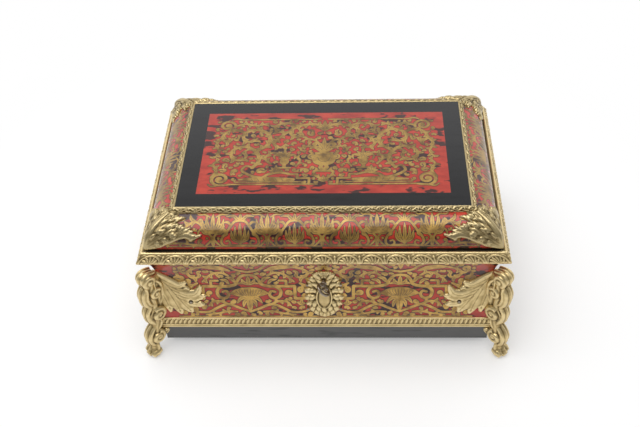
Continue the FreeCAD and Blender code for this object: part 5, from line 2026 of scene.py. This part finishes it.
# %% [markdown]
# ## Key
# The key stays in the lock, its bow turned aslant. It is forged iron: a shank with turned rings, an oval
# bow of round bar, and two small rings inside it that leave the bow pierced. The rolls that shaped the
# legs shape it too, and melting them joins the bars as a smith's weld would. A curve with a bevel would
# be quicker, but it would leave the bars cutting through each other.

# %% Key
key_low, key_high = box_mm("key")
bow_radius = 1.45
bow_half_length = 7.5
bow_half_width = 8.5
bow_middle = key_low.y + bow_half_length
shank_radius = 1.9
bit_middle = (box_mm("lock_bolt")[0].y + box_mm("lock_bolt")[1].y) / 2
bit_reach = 7.4
bit_bar_spacing = 1.2
bit_bar_radius = 0.9
collar_places = [-1.5, -0.6, 0.2, 1.0, 1.8, 2.6, 3.4]
collar_radii = [1.9, 2.0, 3.0, 3.1, 2.1, 2.6, 1.9]
key_slant = math.radians(45)


def on_key(off_axis, y):
    """A point in the plane of the bow, at a distance from the key's axis."""
    return (-off_axis * math.sin(key_slant), y, key_level + off_axis * math.cos(key_slant))


def key_ring(off_axis, y, half_width, half_length, radius):
    """An oval of round bar in the plane of the bow."""
    turn = np.linspace(0, 2 * math.pi, 33)
    oval = [on_key(off_axis + half_width * math.cos(a), y + half_length * math.sin(a)) for a in turn]
    return roll(oval, [radius, radius])


def key_clay():
    parts = [key_ring(0, bow_middle, bow_half_width - bow_radius, bow_half_length - bow_radius, bow_radius)]
    for side in (-1, 1):
        parts.append(key_ring(side * 3.2, bow_middle + 1.2, 2.6, 2.6, 0.85))
    root = bow_middle + bow_half_length
    parts.append(roll([on_key(0, root + length) for length in collar_places], collar_radii))
    shank = [on_key(0, y) for y in np.linspace(root, key_high.y, 12)]
    parts.append(roll(shank, [shank_radius, shank_radius]))
    for shift in (-bit_bar_spacing, 0, bit_bar_spacing):
        bit = [on_key(off_axis, bit_middle + shift) for off_axis in np.linspace(0, bit_reach, 6)]
        parts.append(roll(bit, [bit_bar_radius, bit_bar_radius]))
    return parts


key_points, key_faces = melted("key_clay", key_clay(), voxel=0.32, rounds=1)
key = new_piece("key_forged", key_points * MM, key_faces, [dark_iron])
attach(key, "key")
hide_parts("key")
print(key.name, len(key_faces), "faces")

# %% [markdown]
# ## Finishes of the solids that stay
# Boards, linings, hinges and the lock already have their true shapes in the solid model, so they only
# need a finish. A list of finishes, with the first letters of the names that take each, covers them all;
# the first that fits is taken.

# %% Finish the remaining solids
finish_starts = [
    (shell_on_walls, ("case_veneer", "lid_veneer")),
    (shaded_top_shell, ("lid_marquetry",)),
    (rosewood, ("case_lining", "lid_lining")),
    (dark_iron, ("case_screws", "lid_screws", "mount_pins", "hinge_pins", "key")),
    (lock_brass, ("hinge_", "lock_", "lid_strike")),
    (rubbed_black, ("plinth",)),
    (ebonised, ("lid_rail", "lid_panel")),
    (gilt_bronze, ("base_moulding", "rim_moulding", "corner_mount", "escutcheon")),
    (shaded_gilt, ("lid_frame", "lid_mount")),
    (oak, ("lid_board", "case_")),
]


def finish_solid(name, solid):
    finish = next(finish for finish, starts in finish_starts if name.startswith(starts))
    solid.data.materials.clear()
    solid.data.materials.append(finish)


for name, solid in nodes.items():
    finish_solid(name, solid)
print(len(nodes), "solids finished")
